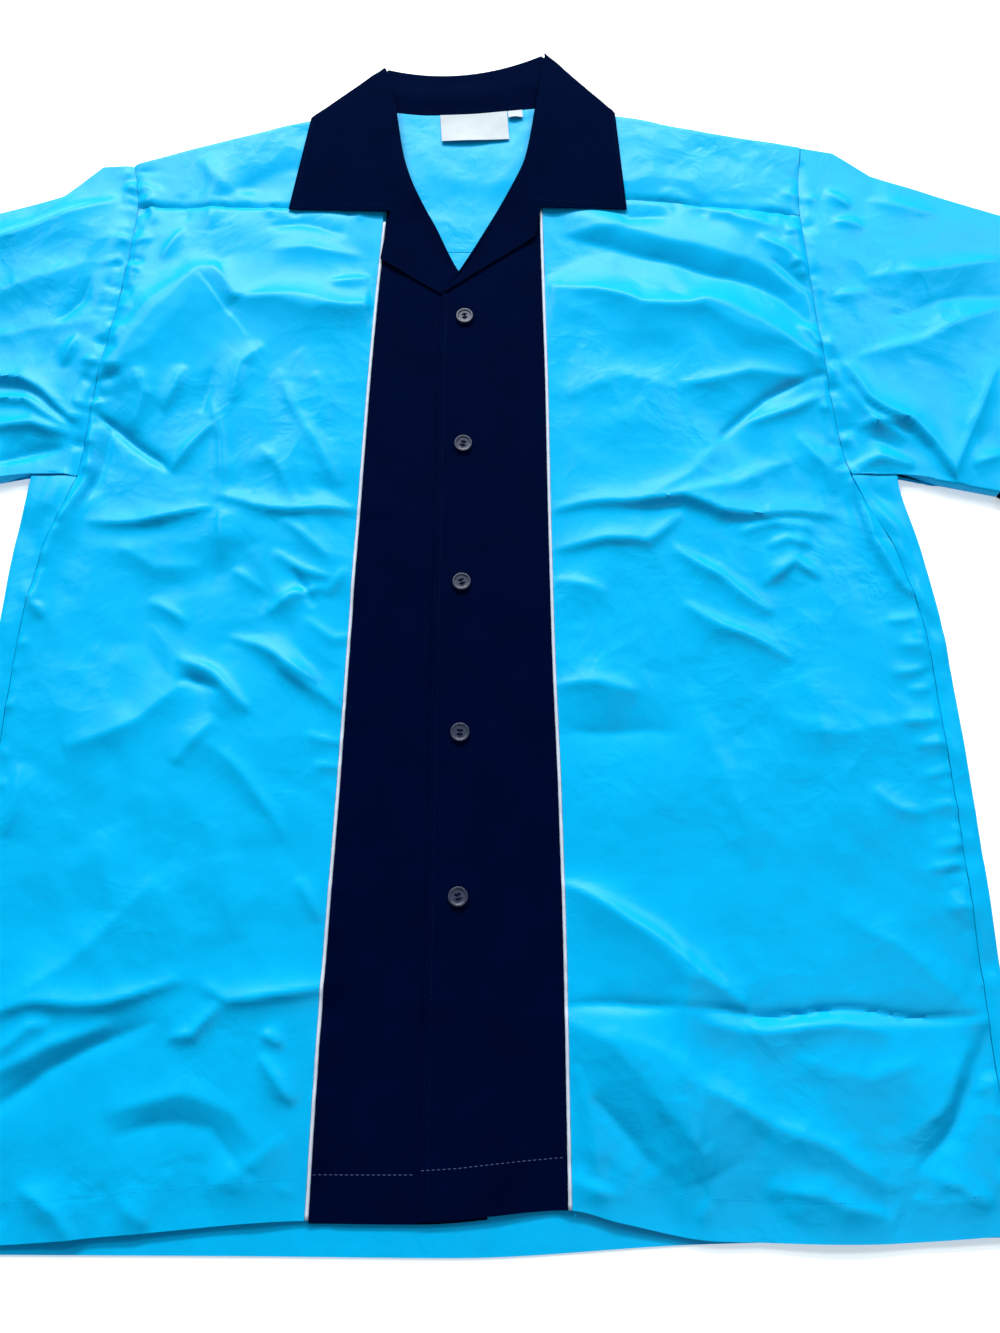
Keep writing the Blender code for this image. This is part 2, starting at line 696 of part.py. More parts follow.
def button(number, material):
    """A four-hole shirt button with a raised rim, lying on the left centre panel."""
    y = TOP_BUTTON_Y - BUTTON_PITCH * (number - 1)
    base = front_height(0, y) + LAYER + CLOTH / 2 + CLEAR
    rim, well = BUTTON_R, BUTTON_R - 1.4
    profile = [(0, 0), (rim - 1.2, 0), (rim, 0.7), (rim, BUTTON_THICK - 0.4), (rim - 0.5, BUTTON_THICK),
               (well, BUTTON_THICK), (well - 0.7, BUTTON_THICK - 0.6), (0, BUTTON_THICK - 0.6)]
    shape = bmesh.new()
    line = [shape.verts.new((r * MM, 0, z * MM)) for r, z in profile]
    edges = [shape.edges.new(pair) for pair in zip(line, line[1:])]
    bmesh.ops.spin(shape, geom=line + edges, axis=(0, 0, 1), cent=(0, 0, 0), angle=2 * math.pi, steps=20)
    bmesh.ops.remove_doubles(shape, verts=shape.verts, dist=1e-6)
    bmesh.ops.recalc_face_normals(shape, faces=shape.faces)
    mesh = bpy.data.meshes.new(f"button_{number}")
    shape.to_mesh(mesh)
    shape.free()
    obj = new_object(f"button_{number}", mesh, material)
    obj.location = Vector((0, y, base)) * MM
    holes = hole_cutter(number, obj.location)
    cut = obj.modifiers.new("Holes", "BOOLEAN")
    cut.operation = "DIFFERENCE"
    cut.object = holes
    return obj


def hole_cutter(number, place):
    """Four pegs that cut the thread holes of a button."""
    spread, radius = 1.5, 0.75
    shape = bmesh.new()
    for sx in (-1, 1):
        for sy in (-1, 1):
            peg = bmesh.ops.create_cone(
                shape, cap_ends=True, segments=8, radius1=radius * MM, radius2=radius * MM, depth=8 * MM
            )
            bmesh.ops.translate(shape, verts=peg["verts"], vec=Vector((sx * spread, sy * spread, 0)) * MM)
    mesh = bpy.data.meshes.new(f"button_{number}_holes")
    shape.to_mesh(mesh)
    shape.free()
    obj = bpy.data.objects.new(mesh.name, mesh)
    bpy.context.scene.collection.objects.link(obj)
    obj.location = place
    obj.hide_render = True
    obj.display_type = "WIRE"
    return obj


def label(name, low_x, high_x, depth, material):
    """A woven label hanging from the back neck seam, inside on the yoke."""
    tilt = 0.06
    rows = []
    for v in shares(2):
        row = []
        for u in shares(3):
            x = low_x + (high_x - low_x) * u
            y = edge_y(NECK_SEAM, x) - 1.0 - depth * (1 - v) * (1 + tilt * (u - 0.5))
            row.append((x + tilt * depth * (1 - v), y, back_height(x, y) + LAYER))
        rows.append(row)
    return sheet(name, rows, material)


def settle(objects):
    """Moves the pieces so that the middle of the footprint is the origin, on the floor."""
    bpy.context.view_layer.update()
    graph = bpy.context.evaluated_depsgraph_get()
    points = []
    for obj in objects:
        shown = obj.evaluated_get(graph)
        points += [obj.matrix_world @ vertex.co for vertex in shown.to_mesh().vertices]
        shown.to_mesh_clear()
    low = Vector([min(p[n] for p in points) for n in range(3)])
    high = Vector([max(p[n] for p in points) for n in range(3)])
    shift = Vector(((low.x + high.x) / 2, (low.y + high.y) / 2, low.z))
    for obj in bpy.data.objects:
        obj.location -= shift


def main():
    clear_scene()
    finishes = {name: finish(name) for name in FINISHES}
    turquoise, navy = finishes["turquoise_cloth"], finishes["navy_cloth"]
    pieces = [back(turquoise), yoke(turquoise), collar(navy)]
    for side in ("right", "left"):
        pieces += [
            front_side(side, turquoise),
            front_centre(side, navy),
            lapel(side, navy),
            piping(side, finishes["piping_cloth"]),
            sleeve(side, turquoise),
            cuff(side, navy),
        ]
    pieces += [button(n + 1, finishes["button_plastic"]) for n in range(BUTTON_COUNT)]
    pieces.append(label("label", -21, 31.5, 27, finishes["label_cloth"]))
    pieces.append(label("size_tab", 32.3, 43.5, 7.5, finishes["label_cloth"]))
    settle(pieces)


main()
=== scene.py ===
import math

import bmesh
import bpy
import numpy as np
from mathutils import Matrix, Vector


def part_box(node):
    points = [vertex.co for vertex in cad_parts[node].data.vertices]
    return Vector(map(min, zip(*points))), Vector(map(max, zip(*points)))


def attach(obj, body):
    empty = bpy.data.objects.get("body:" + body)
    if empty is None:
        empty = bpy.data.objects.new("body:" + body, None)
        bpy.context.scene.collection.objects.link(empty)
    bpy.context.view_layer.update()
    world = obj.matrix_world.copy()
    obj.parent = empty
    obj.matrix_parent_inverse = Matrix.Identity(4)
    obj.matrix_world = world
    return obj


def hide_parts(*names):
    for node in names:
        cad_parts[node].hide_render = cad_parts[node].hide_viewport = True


# The looks of a short-sleeved bowling shirt laid flat on its back, front side up.
# Tables of folds are in millimetres from the middle of the shirt's footprint: +x towards the
# wearer's left sleeve, +y towards the collar. Objects are in metres.

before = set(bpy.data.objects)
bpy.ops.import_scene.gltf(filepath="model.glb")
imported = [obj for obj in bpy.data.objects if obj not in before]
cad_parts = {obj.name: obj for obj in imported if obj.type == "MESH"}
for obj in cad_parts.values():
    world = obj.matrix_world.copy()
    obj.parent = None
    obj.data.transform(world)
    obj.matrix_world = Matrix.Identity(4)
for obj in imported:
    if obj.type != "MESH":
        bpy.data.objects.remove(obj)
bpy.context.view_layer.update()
bpy.ops.object.select_all(action="DESELECT")
mm = 0.001  # one millimetre, in metres
print("frame loaded")


def makeMaterial(name, base, rough):
    material = bpy.data.materials.new(name)
    material.use_nodes = True
    shader = material.node_tree.nodes["Principled BSDF"]
    shader.inputs["Base Color"].default_value = (*base, 1)
    shader.inputs["Roughness"].default_value = rough
    return material, material.node_tree, shader


def addNode(tree, kind, at=(0, 0), **settings):
    node = tree.nodes.new(kind)
    node.location = at
    for key, value in settings.items():
        setattr(node, key, value)
    return node


def setInput(node, **values):
    for key, value in values.items():
        node.inputs[key.replace("_", " ")].default_value = value
    return node


def texture(tree, where, kind, at, settings=None, **values):
    # a texture read at the places that the socket called where gives
    node = addNode(tree, "ShaderNodeTex" + kind, at, **(settings or {}))
    tree.links.new(where, node.inputs["Vector"])
    return setInput(node, **values)


def bump(tree, at, height, strength, distance, under=None):
    node = setInput(addNode(tree, "ShaderNodeBump", at), Strength=strength, Distance=distance)
    tree.links.new(height, node.inputs["Height"])
    if under:
        tree.links.new(under, node.inputs["Normal"])
    return node.outputs["Normal"]


def poplin(name, look):
    # plain weave: warp and weft threads as two crossed bands, over a slow mottle of the dye
    material, tree, shader = makeMaterial(name, look["colour"], look["rough"])
    shader.inputs["Sheen Weight"].default_value = look["sheen"]
    shader.inputs["Sheen Roughness"].default_value = look["sheenRough"]
    shader.inputs["Sheen Tint"].default_value = (*look["sheenTint"], 1)
    shader.inputs["Specular IOR Level"].default_value = look["specular"]
    shader.inputs["Specular Tint"].default_value = (*look["specularTint"], 1)
    link = tree.links.new
    where = addNode(tree, "ShaderNodeTexCoord", (-1500, 0)).outputs["Object"]
    weave = addNode(tree, "ShaderNodeMath", (-950, 180), operation="MULTIPLY")
    for number, axis in enumerate("XY"):
        band = texture(
            tree, where, "Wave", (-1200, 300 - 260 * number), {"bands_direction": axis},
            Scale=look["threads"], Distortion=0.6, Detail=1.0, Detail_Scale=2.0,
        )
        link(band.outputs["Fac"], weave.inputs[number])
    slub = texture(tree, where, "Noise", (-1200, -260), Scale=look["slub"], Detail=3.0, Roughness=0.6)
    crumple = texture(
        tree, where, "Noise", (-1200, -520),
        Scale=look["crumple"], Detail=4.0, Roughness=0.55, Distortion=0.7,
    )
    mottle = addNode(tree, "ShaderNodeValToRGB", (-700, 320))
    darker = [c * look["dark"] for c in look["colour"]]
    for stop, place, tint in zip(mottle.color_ramp.elements, (0.25, 0.75), (darker, look["colour"])):
        stop.position = place
        stop.color = (*tint, 1)
    link(slub.outputs["Fac"], mottle.inputs["Fac"])
    link(mottle.outputs["Color"], shader.inputs["Base Color"])
    fine = bump(tree, (-450, -60), weave.outputs["Value"], look["weaveBump"], 0.0003)
    soft = bump(tree, (-220, -160), crumple.outputs["Fac"], look["crumpleBump"], 0.004, fine)
    # sharp small creases, in patches only
    drift = addNode(tree, "ShaderNodeVectorMath", (-1050, -780), operation="MULTIPLY_ADD")
    link(crumple.outputs["Color"], drift.inputs[0])
    drift.inputs[1].default_value = (look["drift"],) * 3
    link(where, drift.inputs[2])
    cells = texture(
        tree, drift.outputs["Vector"], "Voronoi", (-850, -780), {"voronoi_dimensions": "2D"},
        Scale=look["cells"], Detail=1.5, Roughness=0.5,
    )
    patches = texture(tree, where, "Noise", (-850, -1040), Scale=look["patches"], Detail=1.0)
    creased = setInput(addNode(tree, "ShaderNodeMapRange", (-640, -1040)), From_Min=0.38, From_Max=0.62)
    link(patches.outputs["Fac"], creased.inputs["Value"])
    heights = addNode(tree, "ShaderNodeMath", (-440, -820), operation="MULTIPLY")
    link(cells.outputs["Distance"], heights.inputs[0])
    link(creased.outputs["Result"], heights.inputs[1])
    sharp = bump(tree, (-40, -220), heights.outputs["Value"], look["creaseBump"], 0.004, soft)
    link(sharp, shader.inputs["Normal"])
    return material


turquoiseLook = {
    "colour": (0.0, 0.392, 0.73),
    "dark": 0.92,
    "rough": 0.29,
    "specular": 0.085,
    "specularTint": (1.0, 1.0, 1.0),
    "sheen": 0.0,
    "sheenRough": 0.45,
    "sheenTint": (0.75, 0.92, 1.0),
    "threads": 620.0,
    "weaveBump": 0.12,
    "slub": 38.0,
    "crumple": 16.0,
    "crumpleBump": 0.3,
    "cells": 26.0,
    "drift": 0.03,
    "patches": 7.0,
    "creaseBump": 0.3,
}
navyLook = {
    "colour": (0.0001, 0.0020, 0.0200),
    "dark": 0.75,
    "rough": 0.7,
    "specular": 0.004,
    "specularTint": (0.1, 0.65, 1.0),
    "sheen": 0.02,
    "sheenRough": 0.5,
    "sheenTint": (0.05, 0.6, 0.8),
    "threads": 620.0,
    "weaveBump": 0.12,
    "slub": 30.0,
    "crumple": 14.0,
    "crumpleBump": 0.25,
    "cells": 16.0,
    "drift": 0.03,
    "patches": 7.0,
    "creaseBump": 0.1,
}
pipingLook = dict(
    turquoiseLook, colour=(0.55, 0.59, 0.67), dark=0.9, sheen=0.1, slub=120.0, crumpleBump=0.1,
    creaseBump=0.0,
)
tapeLook = dict(
    turquoiseLook, colour=(0.50, 0.54, 0.56), dark=0.88, sheen=0.0, specular=0.02, slub=90.0,
    crumpleBump=0.15, creaseBump=0.1,
)
turquoise = poplin("turquoisePoplin", turquoiseLook)
navy = poplin("navyPoplin", navyLook)
pipingCloth = poplin("pipingCloth", pipingLook)
tape = poplin("wovenTape", tapeLook)
print("cloth materials made")

cloth = 0.9  # thickness of a cloth wall
layer = 1.3  # from the middle of one layer to the middle of the next
air = 0.9  # extra room between the back and the fronts
seamGap = 0.6
moved = (5.6, 434.0)  # the plan's zero is the button line at the back hem; the origin is here on it

plan = {
    "pit": 490.0,
    "backYokeSeam": 680.0,
    "neck": 60.0,
    "yokeFront": 63.0,
    "break": 641.0,
    "gorge": 730.0,
    "pipingGap": 1.25,
    "collarLift": 2.2,
    "rollLift": 2.4,
}
# half widths by height above the back hem: y, side left, seam left, side right, seam right,
# piping left, piping right
body = np.array([
    (-5, 334, 323, 318, 307, 66.2, 85.2),
    (140, 331, 319, 314, 302, 66.0, 82.0),
    (262, 327, 315, 311, 298, 64.4, 77.8),
    (360, 323, 311, 309, 295, 61.8, 75.0),
    (430, 315, 297, 307, 287, 60.8, 73.2),
    (490, 304, 271, 302, 270, 60.2, 71.2),
    (560, 304, 262, 302, 264, 59.8, 69.0),
    (640, 304, 257, 302, 254, 58.5, 65.5),
    (715, 304, 254, 302, 250, 57.3, 61.6),
    (780, 304, 260, 302, 262, 56.5, 60.5),
], float)
# front edges, and above the break the roll line: y, left, right, as distances out
roll = np.array([
    (-5, -20.5, -19.0),
    (600, -18.5, -17.5),
    (641, -16.5, -14.0),
    (650, -10.5, -6.0),
    (660, -4.0, 4.5),
    (700, 17.5, 23.0),
    (735, 35.0, 39.8),
    (762, 45.4, 47.9),
    (812, 53.7, 56.0),
    (870, 62.3, 68.5),
], float)
frontHem = np.array([
    (-320, 4), (-260, 6), (-180, 12), (-85, 18.5), (-20, 18), (66, 24), (95, 17.5), (150, 8),
    (230, 6.5), (335, 12),
], float)
backHem = np.array([(-320, 1), (-120, 0), (0, -1), (140, 6), (335, 10)], float)
shoulderLine = np.array([
    (-262, 758), (-200, 777.5), (-121.5, 800.6), (-60, 817), (60, 817), (116, 805.5), (200, 787),
    (260, 775),
], float)
yokeSeam = np.array([(-252, 718), (-60, 719.5), (60, 730), (124, 726), (253, 711)], float)
neckSeam = np.array([(-60, 811), (-30, 808), (0, 809), (30, 812), (60, 815.5)], float)
# shoulder, crown, upper, cuff top, cuff low, under, pit, as distances out
sleeves = {
    "left": [(260, 775), (284, 770), (311, 748), (468, 686), (372, 476), (331, 487), (307, 497)],
    "right": [(262, 758), (281, 757), (308, 729), (457, 676), (363, 478), (329, 487), (304.5, 495)],
}
# corner, shoulder, tip, notch, lapel tip, lapel low, as distances out
collars = {
    "left": [(62.3, 869), (116, 808.8), (122.4, 715), (56.6, 717), (52.5, 691), (-14.5, 642)],
    "right": [(66.4, 854), (121.5, 803.8), (134.7, 715), (57.4, 713.5), (63.7, 671), (17.8, 640.8)],
}
collarBack = {"rollMid": 848.0, "edgeMid": 772.0}


def smooth(t):
    t = min(1.0, max(0.0, t))
    return t * t * (3 - 2 * t)


def along(table, column, at):
    # a smooth curve through a column of a table, level where the values turn back
    places, values = table[:, 0], table[:, column]
    at = min(places[-1], max(places[0], at))
    i = int(min(np.searchsorted(places, at, side="right") - 1, len(places) - 2))
    steps = np.diff(values) / np.diff(places)

    def slope(n):
        if n in (0, len(places) - 1):
            return steps[min(n, len(steps) - 1)]
        if steps[n - 1] * steps[n] <= 0:
            return 0.0
        return 2 * steps[n - 1] * steps[n] / (steps[n - 1] + steps[n])

    span = places[i + 1] - places[i]
    t = (at - places[i]) / span
    return (
        values[i] * (1 + 2 * t) * (1 - t) ** 2
        + slope(i) * span * t * (1 - t) ** 2
        + values[i + 1] * t * t * (3 - 2 * t)
        + slope(i + 1) * span * t * t * (t - 1)
    )


def lookup(table, column):
    # the curve sampled once every millimetre, so that it reads fast
    low, high = int(math.floor(table[0, 0])), int(math.ceil(table[-1, 0]))
    fine = [along(table, column, at) for at in range(low, high + 1)]

    def read(at):
        place = min(len(fine) - 1.001, max(0.0, at - low))
        n = int(place)
        return fine[n] + (fine[n + 1] - fine[n]) * (place - n)

    return read


outerX = {"left": lookup(body, 1), "right": lookup(body, 3)}
seamX = {"left": lookup(body, 2), "right": lookup(body, 4)}
pipingX = {"left": lookup(body, 5), "right": lookup(body, 6)}
rollX = {"left": lookup(roll, 1), "right": lookup(roll, 2)}
frontHemY, backHemY = lookup(frontHem, 1), lookup(backHem, 1)
shoulderY, yokeSeamY, neckY = lookup(shoulderLine, 1), lookup(yokeSeam, 1), lookup(neckSeam, 1)
signs = {"left": 1, "right": -1}


def backArmholeX(side, y):
    pit = plan["pit"]
    room = outerX[side](pit) - seamX[side](pit) - 2
    return seamX[side](y) + room * (1 - smooth((y - pit) / 45))


def backZ(x, y):
    return cloth / 2 + layer * smooth((y - 718) / 30) * (1 - smooth((abs(x) - 128) / 40))


def frontZ(x, y):
    return backZ(x, y) + layer + air


def shares(count):
    return [n / count for n in range(count + 1)]


def mix(a, b, t):
    return tuple(p + (q - p) * t for p, q in zip(a, b))


def turn(low, high, out, steps=6):
    # points round the fold between two layers, from the lower one to the one above
    low, high = Vector(low), Vector(high)
    radius = (high - low).length / 2
    points = []
    for n in range(1, steps):
        angle = math.pi * n / steps - math.pi / 2
        middle = (low + high) / 2 + (high - low) / 2 * math.sin(angle)
        points.append(tuple(middle + Vector(out) * radius * math.cos(angle)))
    return points


def through(points):
    points = [tuple(p) for p in points]
    lengths = [math.dist(a, b) for a, b in zip(points, points[1:])]
    total = sum(lengths)

    def at(t):
        left = t * total
        for n, length in enumerate(lengths):
            if left <= length or n == len(lengths) - 1:
                return mix(points[n], points[n + 1], min(1.0, left / length))
            left -= length

    return at


# Folds, each a crest or, below 0, a crease: its path, its height, and how far it falls away on the
# left and on the right of the path, in millimetres. The light comes from the collar's side, so a
# short fall towards the hem reads as a dark line.
chestLeftFolds = [
    ([(60, 262), (110, 263), (160, 250), (205, 235), (244, 200)], 3.0, 18, 16),
    ([(50, 256), (126, 241), (194, 220), (227, 199), (254, 164)], -5.0, 13, 17),
    ([(50, 214), (90, 206), (124, 193), (169, 197), (208, 177), (256, 138)], 7.4, 14, 24),
    ([(140, 210), (166, 197)], -0.9, 5, 7),
    ([(170, 84), (184, 95), (211, 117), (256, 137)], -2.6, 3, 4),
    ([(150, 130), (199, 136), (250, 131)], 2.6, 8, 9),
    ([(196, 98), (230, 106), (254, 117)], 2.8, 5, 5),
    ([(118, 36), (151, 58), (178, 90)], 2.2, 12, 11),
    ([(146, 42), (186, 50), (222, 67)], 2.6, 7, 11),
    ([(70, 120), (112, 132), (150, 128)], 1.8, 14, 20),
    ([(214, 254), (236, 240), (250, 222)], 2.2, 5, 6),
    ([(222, 232), (250, 206)], -1.8, 4, 4),
    ([(170, 288), (205, 268), (236, 262)], 2.2, 7, 6),
    ([(92, 290), (118, 272), (150, 276)], -2.2, 7, 8),
    ([(228, 84), (246, 62), (250, 40)], 2.2, 8, 6),
    ([(236, 176), (252, 158)], 2.0, 4, 4),
]
chestRightFolds = [
    ([(-270, 128), (-233, 187), (-204, 223), (-186, 229)], 7.6, 18, 30),
    ([(-192, 228), (-172, 197)], 3.4, 9, 12),
    ([(-180, 200), (-150, 198), (-122, 195), (-56, 197)], 6.6, 18, 20),
    ([(-240, 142), (-232, 120), (-241, 92)], 2.8, 6, 8),
    ([(-204, 142), (-208, 126), (-219, 108)], 2.6, 5, 7),
    ([(-150, 160), (-166, 144), (-170, 112)], 2.8, 7, 8),
    ([(-138, 140), (-113, 88), (-92, 50)], 2.8, 11, 8),
    ([(-152, 78), (-136, 60), (-121, 34)], 2.2, 8, 6),
    ([(-266, 104), (-242, 87), (-213, 60)], -3.6, 3, 3),
    ([(-214, 60), (-200, 76), (-181, 95)], 2.8, 6, 4),
    ([(-186, 140), (-190, 104)], -1.8, 6, 5),
    ([(-126, 158), (-108, 128), (-104, 96)], 1.6, 12, 10),
    ([(-182, 298), (-156, 306), (-127, 322)], -3.4, 10, 11),
    ([(-212, 330), (-190, 296)], 2.6, 9, 7),
    ([(-244, 304), (-246, 280)], 2.0, 4, 4),
    ([(-206, 304), (-197, 262)], 1.8, 7, 5),
    ([(-152, 262), (-128, 268), (-96, 262)], -2.2, 8, 7),
    ([(-150, 240), (-120, 247), (-84, 240)], 1.8, 6, 8),
    ([(-104, 214), (-78, 222)], 1.8, 3, 4),
    ([(-232, 236), (-216, 262)], 1.8, 4, 5),
]
bodyLeftFolds = [
    ([(58, 30), (106, 34), (147, 39), (173, 30), (203, 25), (254, 25)], 4.2, 12, 3.6),
    ([(58, 2), (95, 6), (122, 3), (148, 26)], 3.2, 12, 4),
    ([(184, 14), (210, 17), (240, 14)], 2.2, 4, 6),
    ([(139, 3), (170, -20), (203, -48)], 3.4, 5, 8),
    ([(141, -40), (178, -60), (213, -80)], 3.2, 5, 6),
    ([(198, -26), (221, -9), (238, -24)], 3.0, 8, 3),
    ([(203, 0), (218, 5), (236, 3)], 2.4, 4, 4),
    ([(262, 66), (276, 8), (289, -21), (305, -46)], 4.0, 9, 4),
    ([(279, 34), (303, 4)], 3.0, 3.6, 4),
    ([(272, 52), (296, 36)], -2.6, 3, 3),
    ([(286, 16), (304, -14)], 2.6, 3, 4),
    ([(56, -96), (84, -97), (112, -102)], 3.2, 8, 16),
    ([(56, -124), (97, -131), (138, -129)], -2.2, 10, 12),
    ([(150, -110), (167, -168), (182, -216)], 1.8, 16, 13),
    ([(110, -60), (122, -150), (118, -220)], 1.5, 14, 18),
    ([(222, -90), (238, -160), (240, -230)], 1.6, 18, 14),
    ([(256, -166), (272, -178), (290, -182)], 2.2, 7, 8),
    ([(196, -118), (240, -132), (286, -120)], 1.8, 12, 16),
    ([(56, -20), (92, -34)], 2.0, 6, 9),
    ([(278, -52), (300, -49)], 1.6, 3, 4),
    ([(284, -69), (303, -66)], 1.4, 3.4, 4),
    ([(278, -87), (304, -83)], 1.5, 3, 3.6),
    ([(288, -99), (306, -98)], 1.2, 3, 3.6),
    ([(281, -122), (307, -119)], 1.9, 3.4, 4),
    ([(286, -136), (308, -133)], 1.5, 3, 4),
    ([(290, -155), (309, -153)], 1.2, 3, 3.6),
    ([(289, -178), (311, -175)], 1.5, 3.4, 4),
    ([(294, -201), (312, -199)], 1.1, 3, 4),
    ([(288, -214), (312, -211)], 1.4, 3, 3.6),
    ([(296, -240), (313, -239)], 1.0, 3, 4),
]
bodyRightFolds = [
    ([(-264, 20), (-221, 24), (-178, 29)], 3.4, 8, 4),
    ([(-174, 37), (-150, 32), (-125, 30), (-74, 32)], 3.4, 9, 4),
    ([(-184, 118), (-176, 84), (-173, 34)], 2.2, 4, 5),
    ([(-173, 30), (-168, -8)], 1.4, 5, 4),
    ([(-128, 23), (-112, 10), (-96, -2)], 1.9, 4, 5),
    ([(-139, -46), (-118, -32), (-97, -27)], 2.8, 4.5, 7),
    ([(-132, -3), (-114, -12), (-94, -20)], 2.3, 4, 6),
    ([(-162, -17), (-140, -30)], 1.6, 4, 5),
    ([(-218, -34), (-189, -56)], 2.0, 4, 7),
    ([(-118, -12), (-104, -42)], -2.4, 4, 4),
    ([(-98, -34), (-84, -12)], 1.6, 4, 4),
    ([(-112, -50), (-90, -62), (-78, -60)], 1.5, 4, 5),
    ([(-196, -77), (-170, -90), (-139, -115)], 3.6, 4.5, 9),
    ([(-192, -92), (-160, -104)], -3.2, 5, 7),
    ([(-160, -64), (-125, -78), (-98, -95)], 3.8, 8, 5),
    ([(-128, -80), (-104, -98), (-80, -112)], 2.4, 7, 4),
    ([(-260, -138), (-213, -122), (-183, -95)], 4.2, 18, 18),
    ([(-188, -150), (-176, -134), (-163, -120)], 2.8, 8, 9),
    ([(-170, -136), (-141, -162), (-116, -198)], 2.6, 7, 13),
    ([(-288, -150), (-292, -200)], 2.6, 8, 8),
    ([(-303, -28), (-287, -53)], 2.8, 5, 5),
    ([(-266, 118), (-270, 54), (-284, 6), (-296, -40)], 3.6, 8, 5),
    ([(-252, 100), (-262, 56), (-270, 30)], -2.6, 5, 4),
    ([(-286, 60), (-296, 20)], 2.4, 5, 4),
    ([(-280, -298), (-246, -276), (-190, -224)], 3.0, 14, 20),
    ([(-230, -190), (-214, -240)], 1.6, 14, 12),
    ([(-150, -210), (-140, -262)], 1.5, 12, 14),
    ([(-104, -128), (-80, -134)], 1.4, 3, 4),
    ([(-100, -148), (-82, -152)], 1.2, 3, 3.4),
    ([(-106, -220), (-90, -246)], 2.0, 6, 6),
    ([(-240, 4), (-214, -12), (-180, -12)], 1.8, 9, 10),
]
hemLeftFolds = [
    ([(58, -224), (93, -242), (128, -270), (166, -298)], 5.6, 7, 20),
    ([(58, -299), (127, -299)], -2.4, 4, 4),
    ([(127, -299), (197, -303), (311, -304)], -2.6, 3, 3),
    ([(140, -308), (190, -311), (250, -312)], 3.0, 4, 9),
    ([(56, -306), (85, -318), (108, -334), (124, -354), (142, -390)], 7.6, 26, 24),
    ([(120, -330), (160, -352), (192, -368), (240, -396)], 4.4, 9, 20),
    ([(311, -308), (303, -338), (284, -368), (262, -388)], -4.0, 7, 8),
    ([(300, -318), (284, -350), (258, -370)], 2.8, 6, 10),
    ([(76, -350), (96, -370), (112, -392)], -2.6, 8, 8),
    ([(66, -330), (76, -360), (74, -392)], 2.0, 7, 8),
    ([(133, -232), (130, -330), (126, -402)], 1.5, 8, 5),
    ([(232, -246), (262, -262), (296, -292)], 2.2, 14, 12),
    ([(176, -398), (206, -404), (246, -418)], 2.8, 7, 12),
    ([(196, -330), (240, -340), (270, -330)], 2.0, 12, 12),
    ([(60, -392), (84, -404)], 2.2, 5, 6),
    ([(270, -392), (300, -404)], 2.4, 7, 8),
]
hemRightFolds = [
    ([(-296, -308), (-263, -297), (-219, -294), (-172, -286)], 4.4, 11, 6),
    ([(-162, -289), (-146, -295), (-118, -290), (-80, -287)], 4.0, 9, 6),
    ([(-150, -297), (-162, -315), (-178, -318)], 3.2, 4, 4),
    ([(-286, -342), (-246, -318), (-214, -307)], 4.0, 8, 12),
    ([(-280, -362), (-248, -334), (-222, -320), (-186, -308)], -2.8, 7, 9),
    ([(-280, -328), (-262, -311), (-248, -307)], 3.0, 5, 6),
    ([(-208, -356), (-165, -350), (-133, -357), (-118, -376)], 3.2, 16, 12),
    ([(-204, -370), (-168, -366), (-146, -367), (-130, -388)], -2.2, 8, 11),
    ([(-123, -326), (-112, -336), (-100, -352)], 3.0, 5, 5),
    ([(-124, -314), (-109, -319)], 2.4, 3.6, 4),
    ([(-152, -402), (-128, -392), (-104, -370)], 2.4, 11, 10),
    ([(-256, -396), (-236, -410), (-222, -426)], 3.0, 9, 9),
    ([(-300, -390), (-280, -404)], 2.6, 9, 9),
    ([(-200, -404), (-180, -420)], 2.0, 8, 8),
]
sleeveLeftFolds = [
    ([(268, 146), (282, 118), (296, 106), (312, 97), (325, 80), (340, 44)], 4.6, 15, 2.6),
    ([(270, 124), (286, 98), (306, 84)], 2.4, 5, 5),
    ([(272, 96), (290, 100), (310, 98)], 2.2, 5, 4),
    ([(268, 62), (286, 70), (308, 66)], 3.0, 6, 4),
    ([(280, 88), (300, 76)], -1.6, 4, 4),
    ([(334, 52), (356, 98), (383, 144)], 2.6, 7, 5),
    ([(292, 219), (344, 225), (398, 234)], 3.0, 8, 15),
    ([(278, 151), (330, 165), (392, 198)], 2.8, 7, 15),
    ([(300, 186), (344, 198), (402, 204)], -1.8, 10, 12),
    ([(268, 300), (288, 284)], 2.4, 4, 5),
    ([(272, 270), (296, 266)], 2.0, 4, 5),
    ([(300, 290), (350, 276)], 2.0, 10, 8),
    ([(350, 60), (372, 70)], 2.2, 6, 6),
    ([(266, 200), (290, 208)], 1.8, 4, 5),
]
sleeveRightFolds = [
    ([(-390, 238), (-324, 264), (-272, 288)], 6.0, 10, 26),
    ([(-364, 142), (-323, 132), (-304, 118), (-280, 98)], 4.8, 13, 2.6),
    ([(-350, 120), (-317, 113), (-285, 92)], 3.6, 5, 4),
    ([(-346, 92), (-312, 96), (-284, 86)], 4.2, 6, 5),
    ([(-336, 68), (-309, 73), (-290, 75)], -3.0, 5, 5),
    ([(-430, 196), (-350, 206), (-284, 230)], 2.8, 12, 20),
    ([(-410, 160), (-340, 168), (-276, 182)], 2.0, 12, 16),
    ([(-304, 178), (-290, 196), (-282, 216)], -2.0, 4, 4),
    ([(-288, 168), (-292, 140)], 2.2, 4, 4),
    ([(-380, 100), (-352, 116)], 2.4, 8, 8),
]
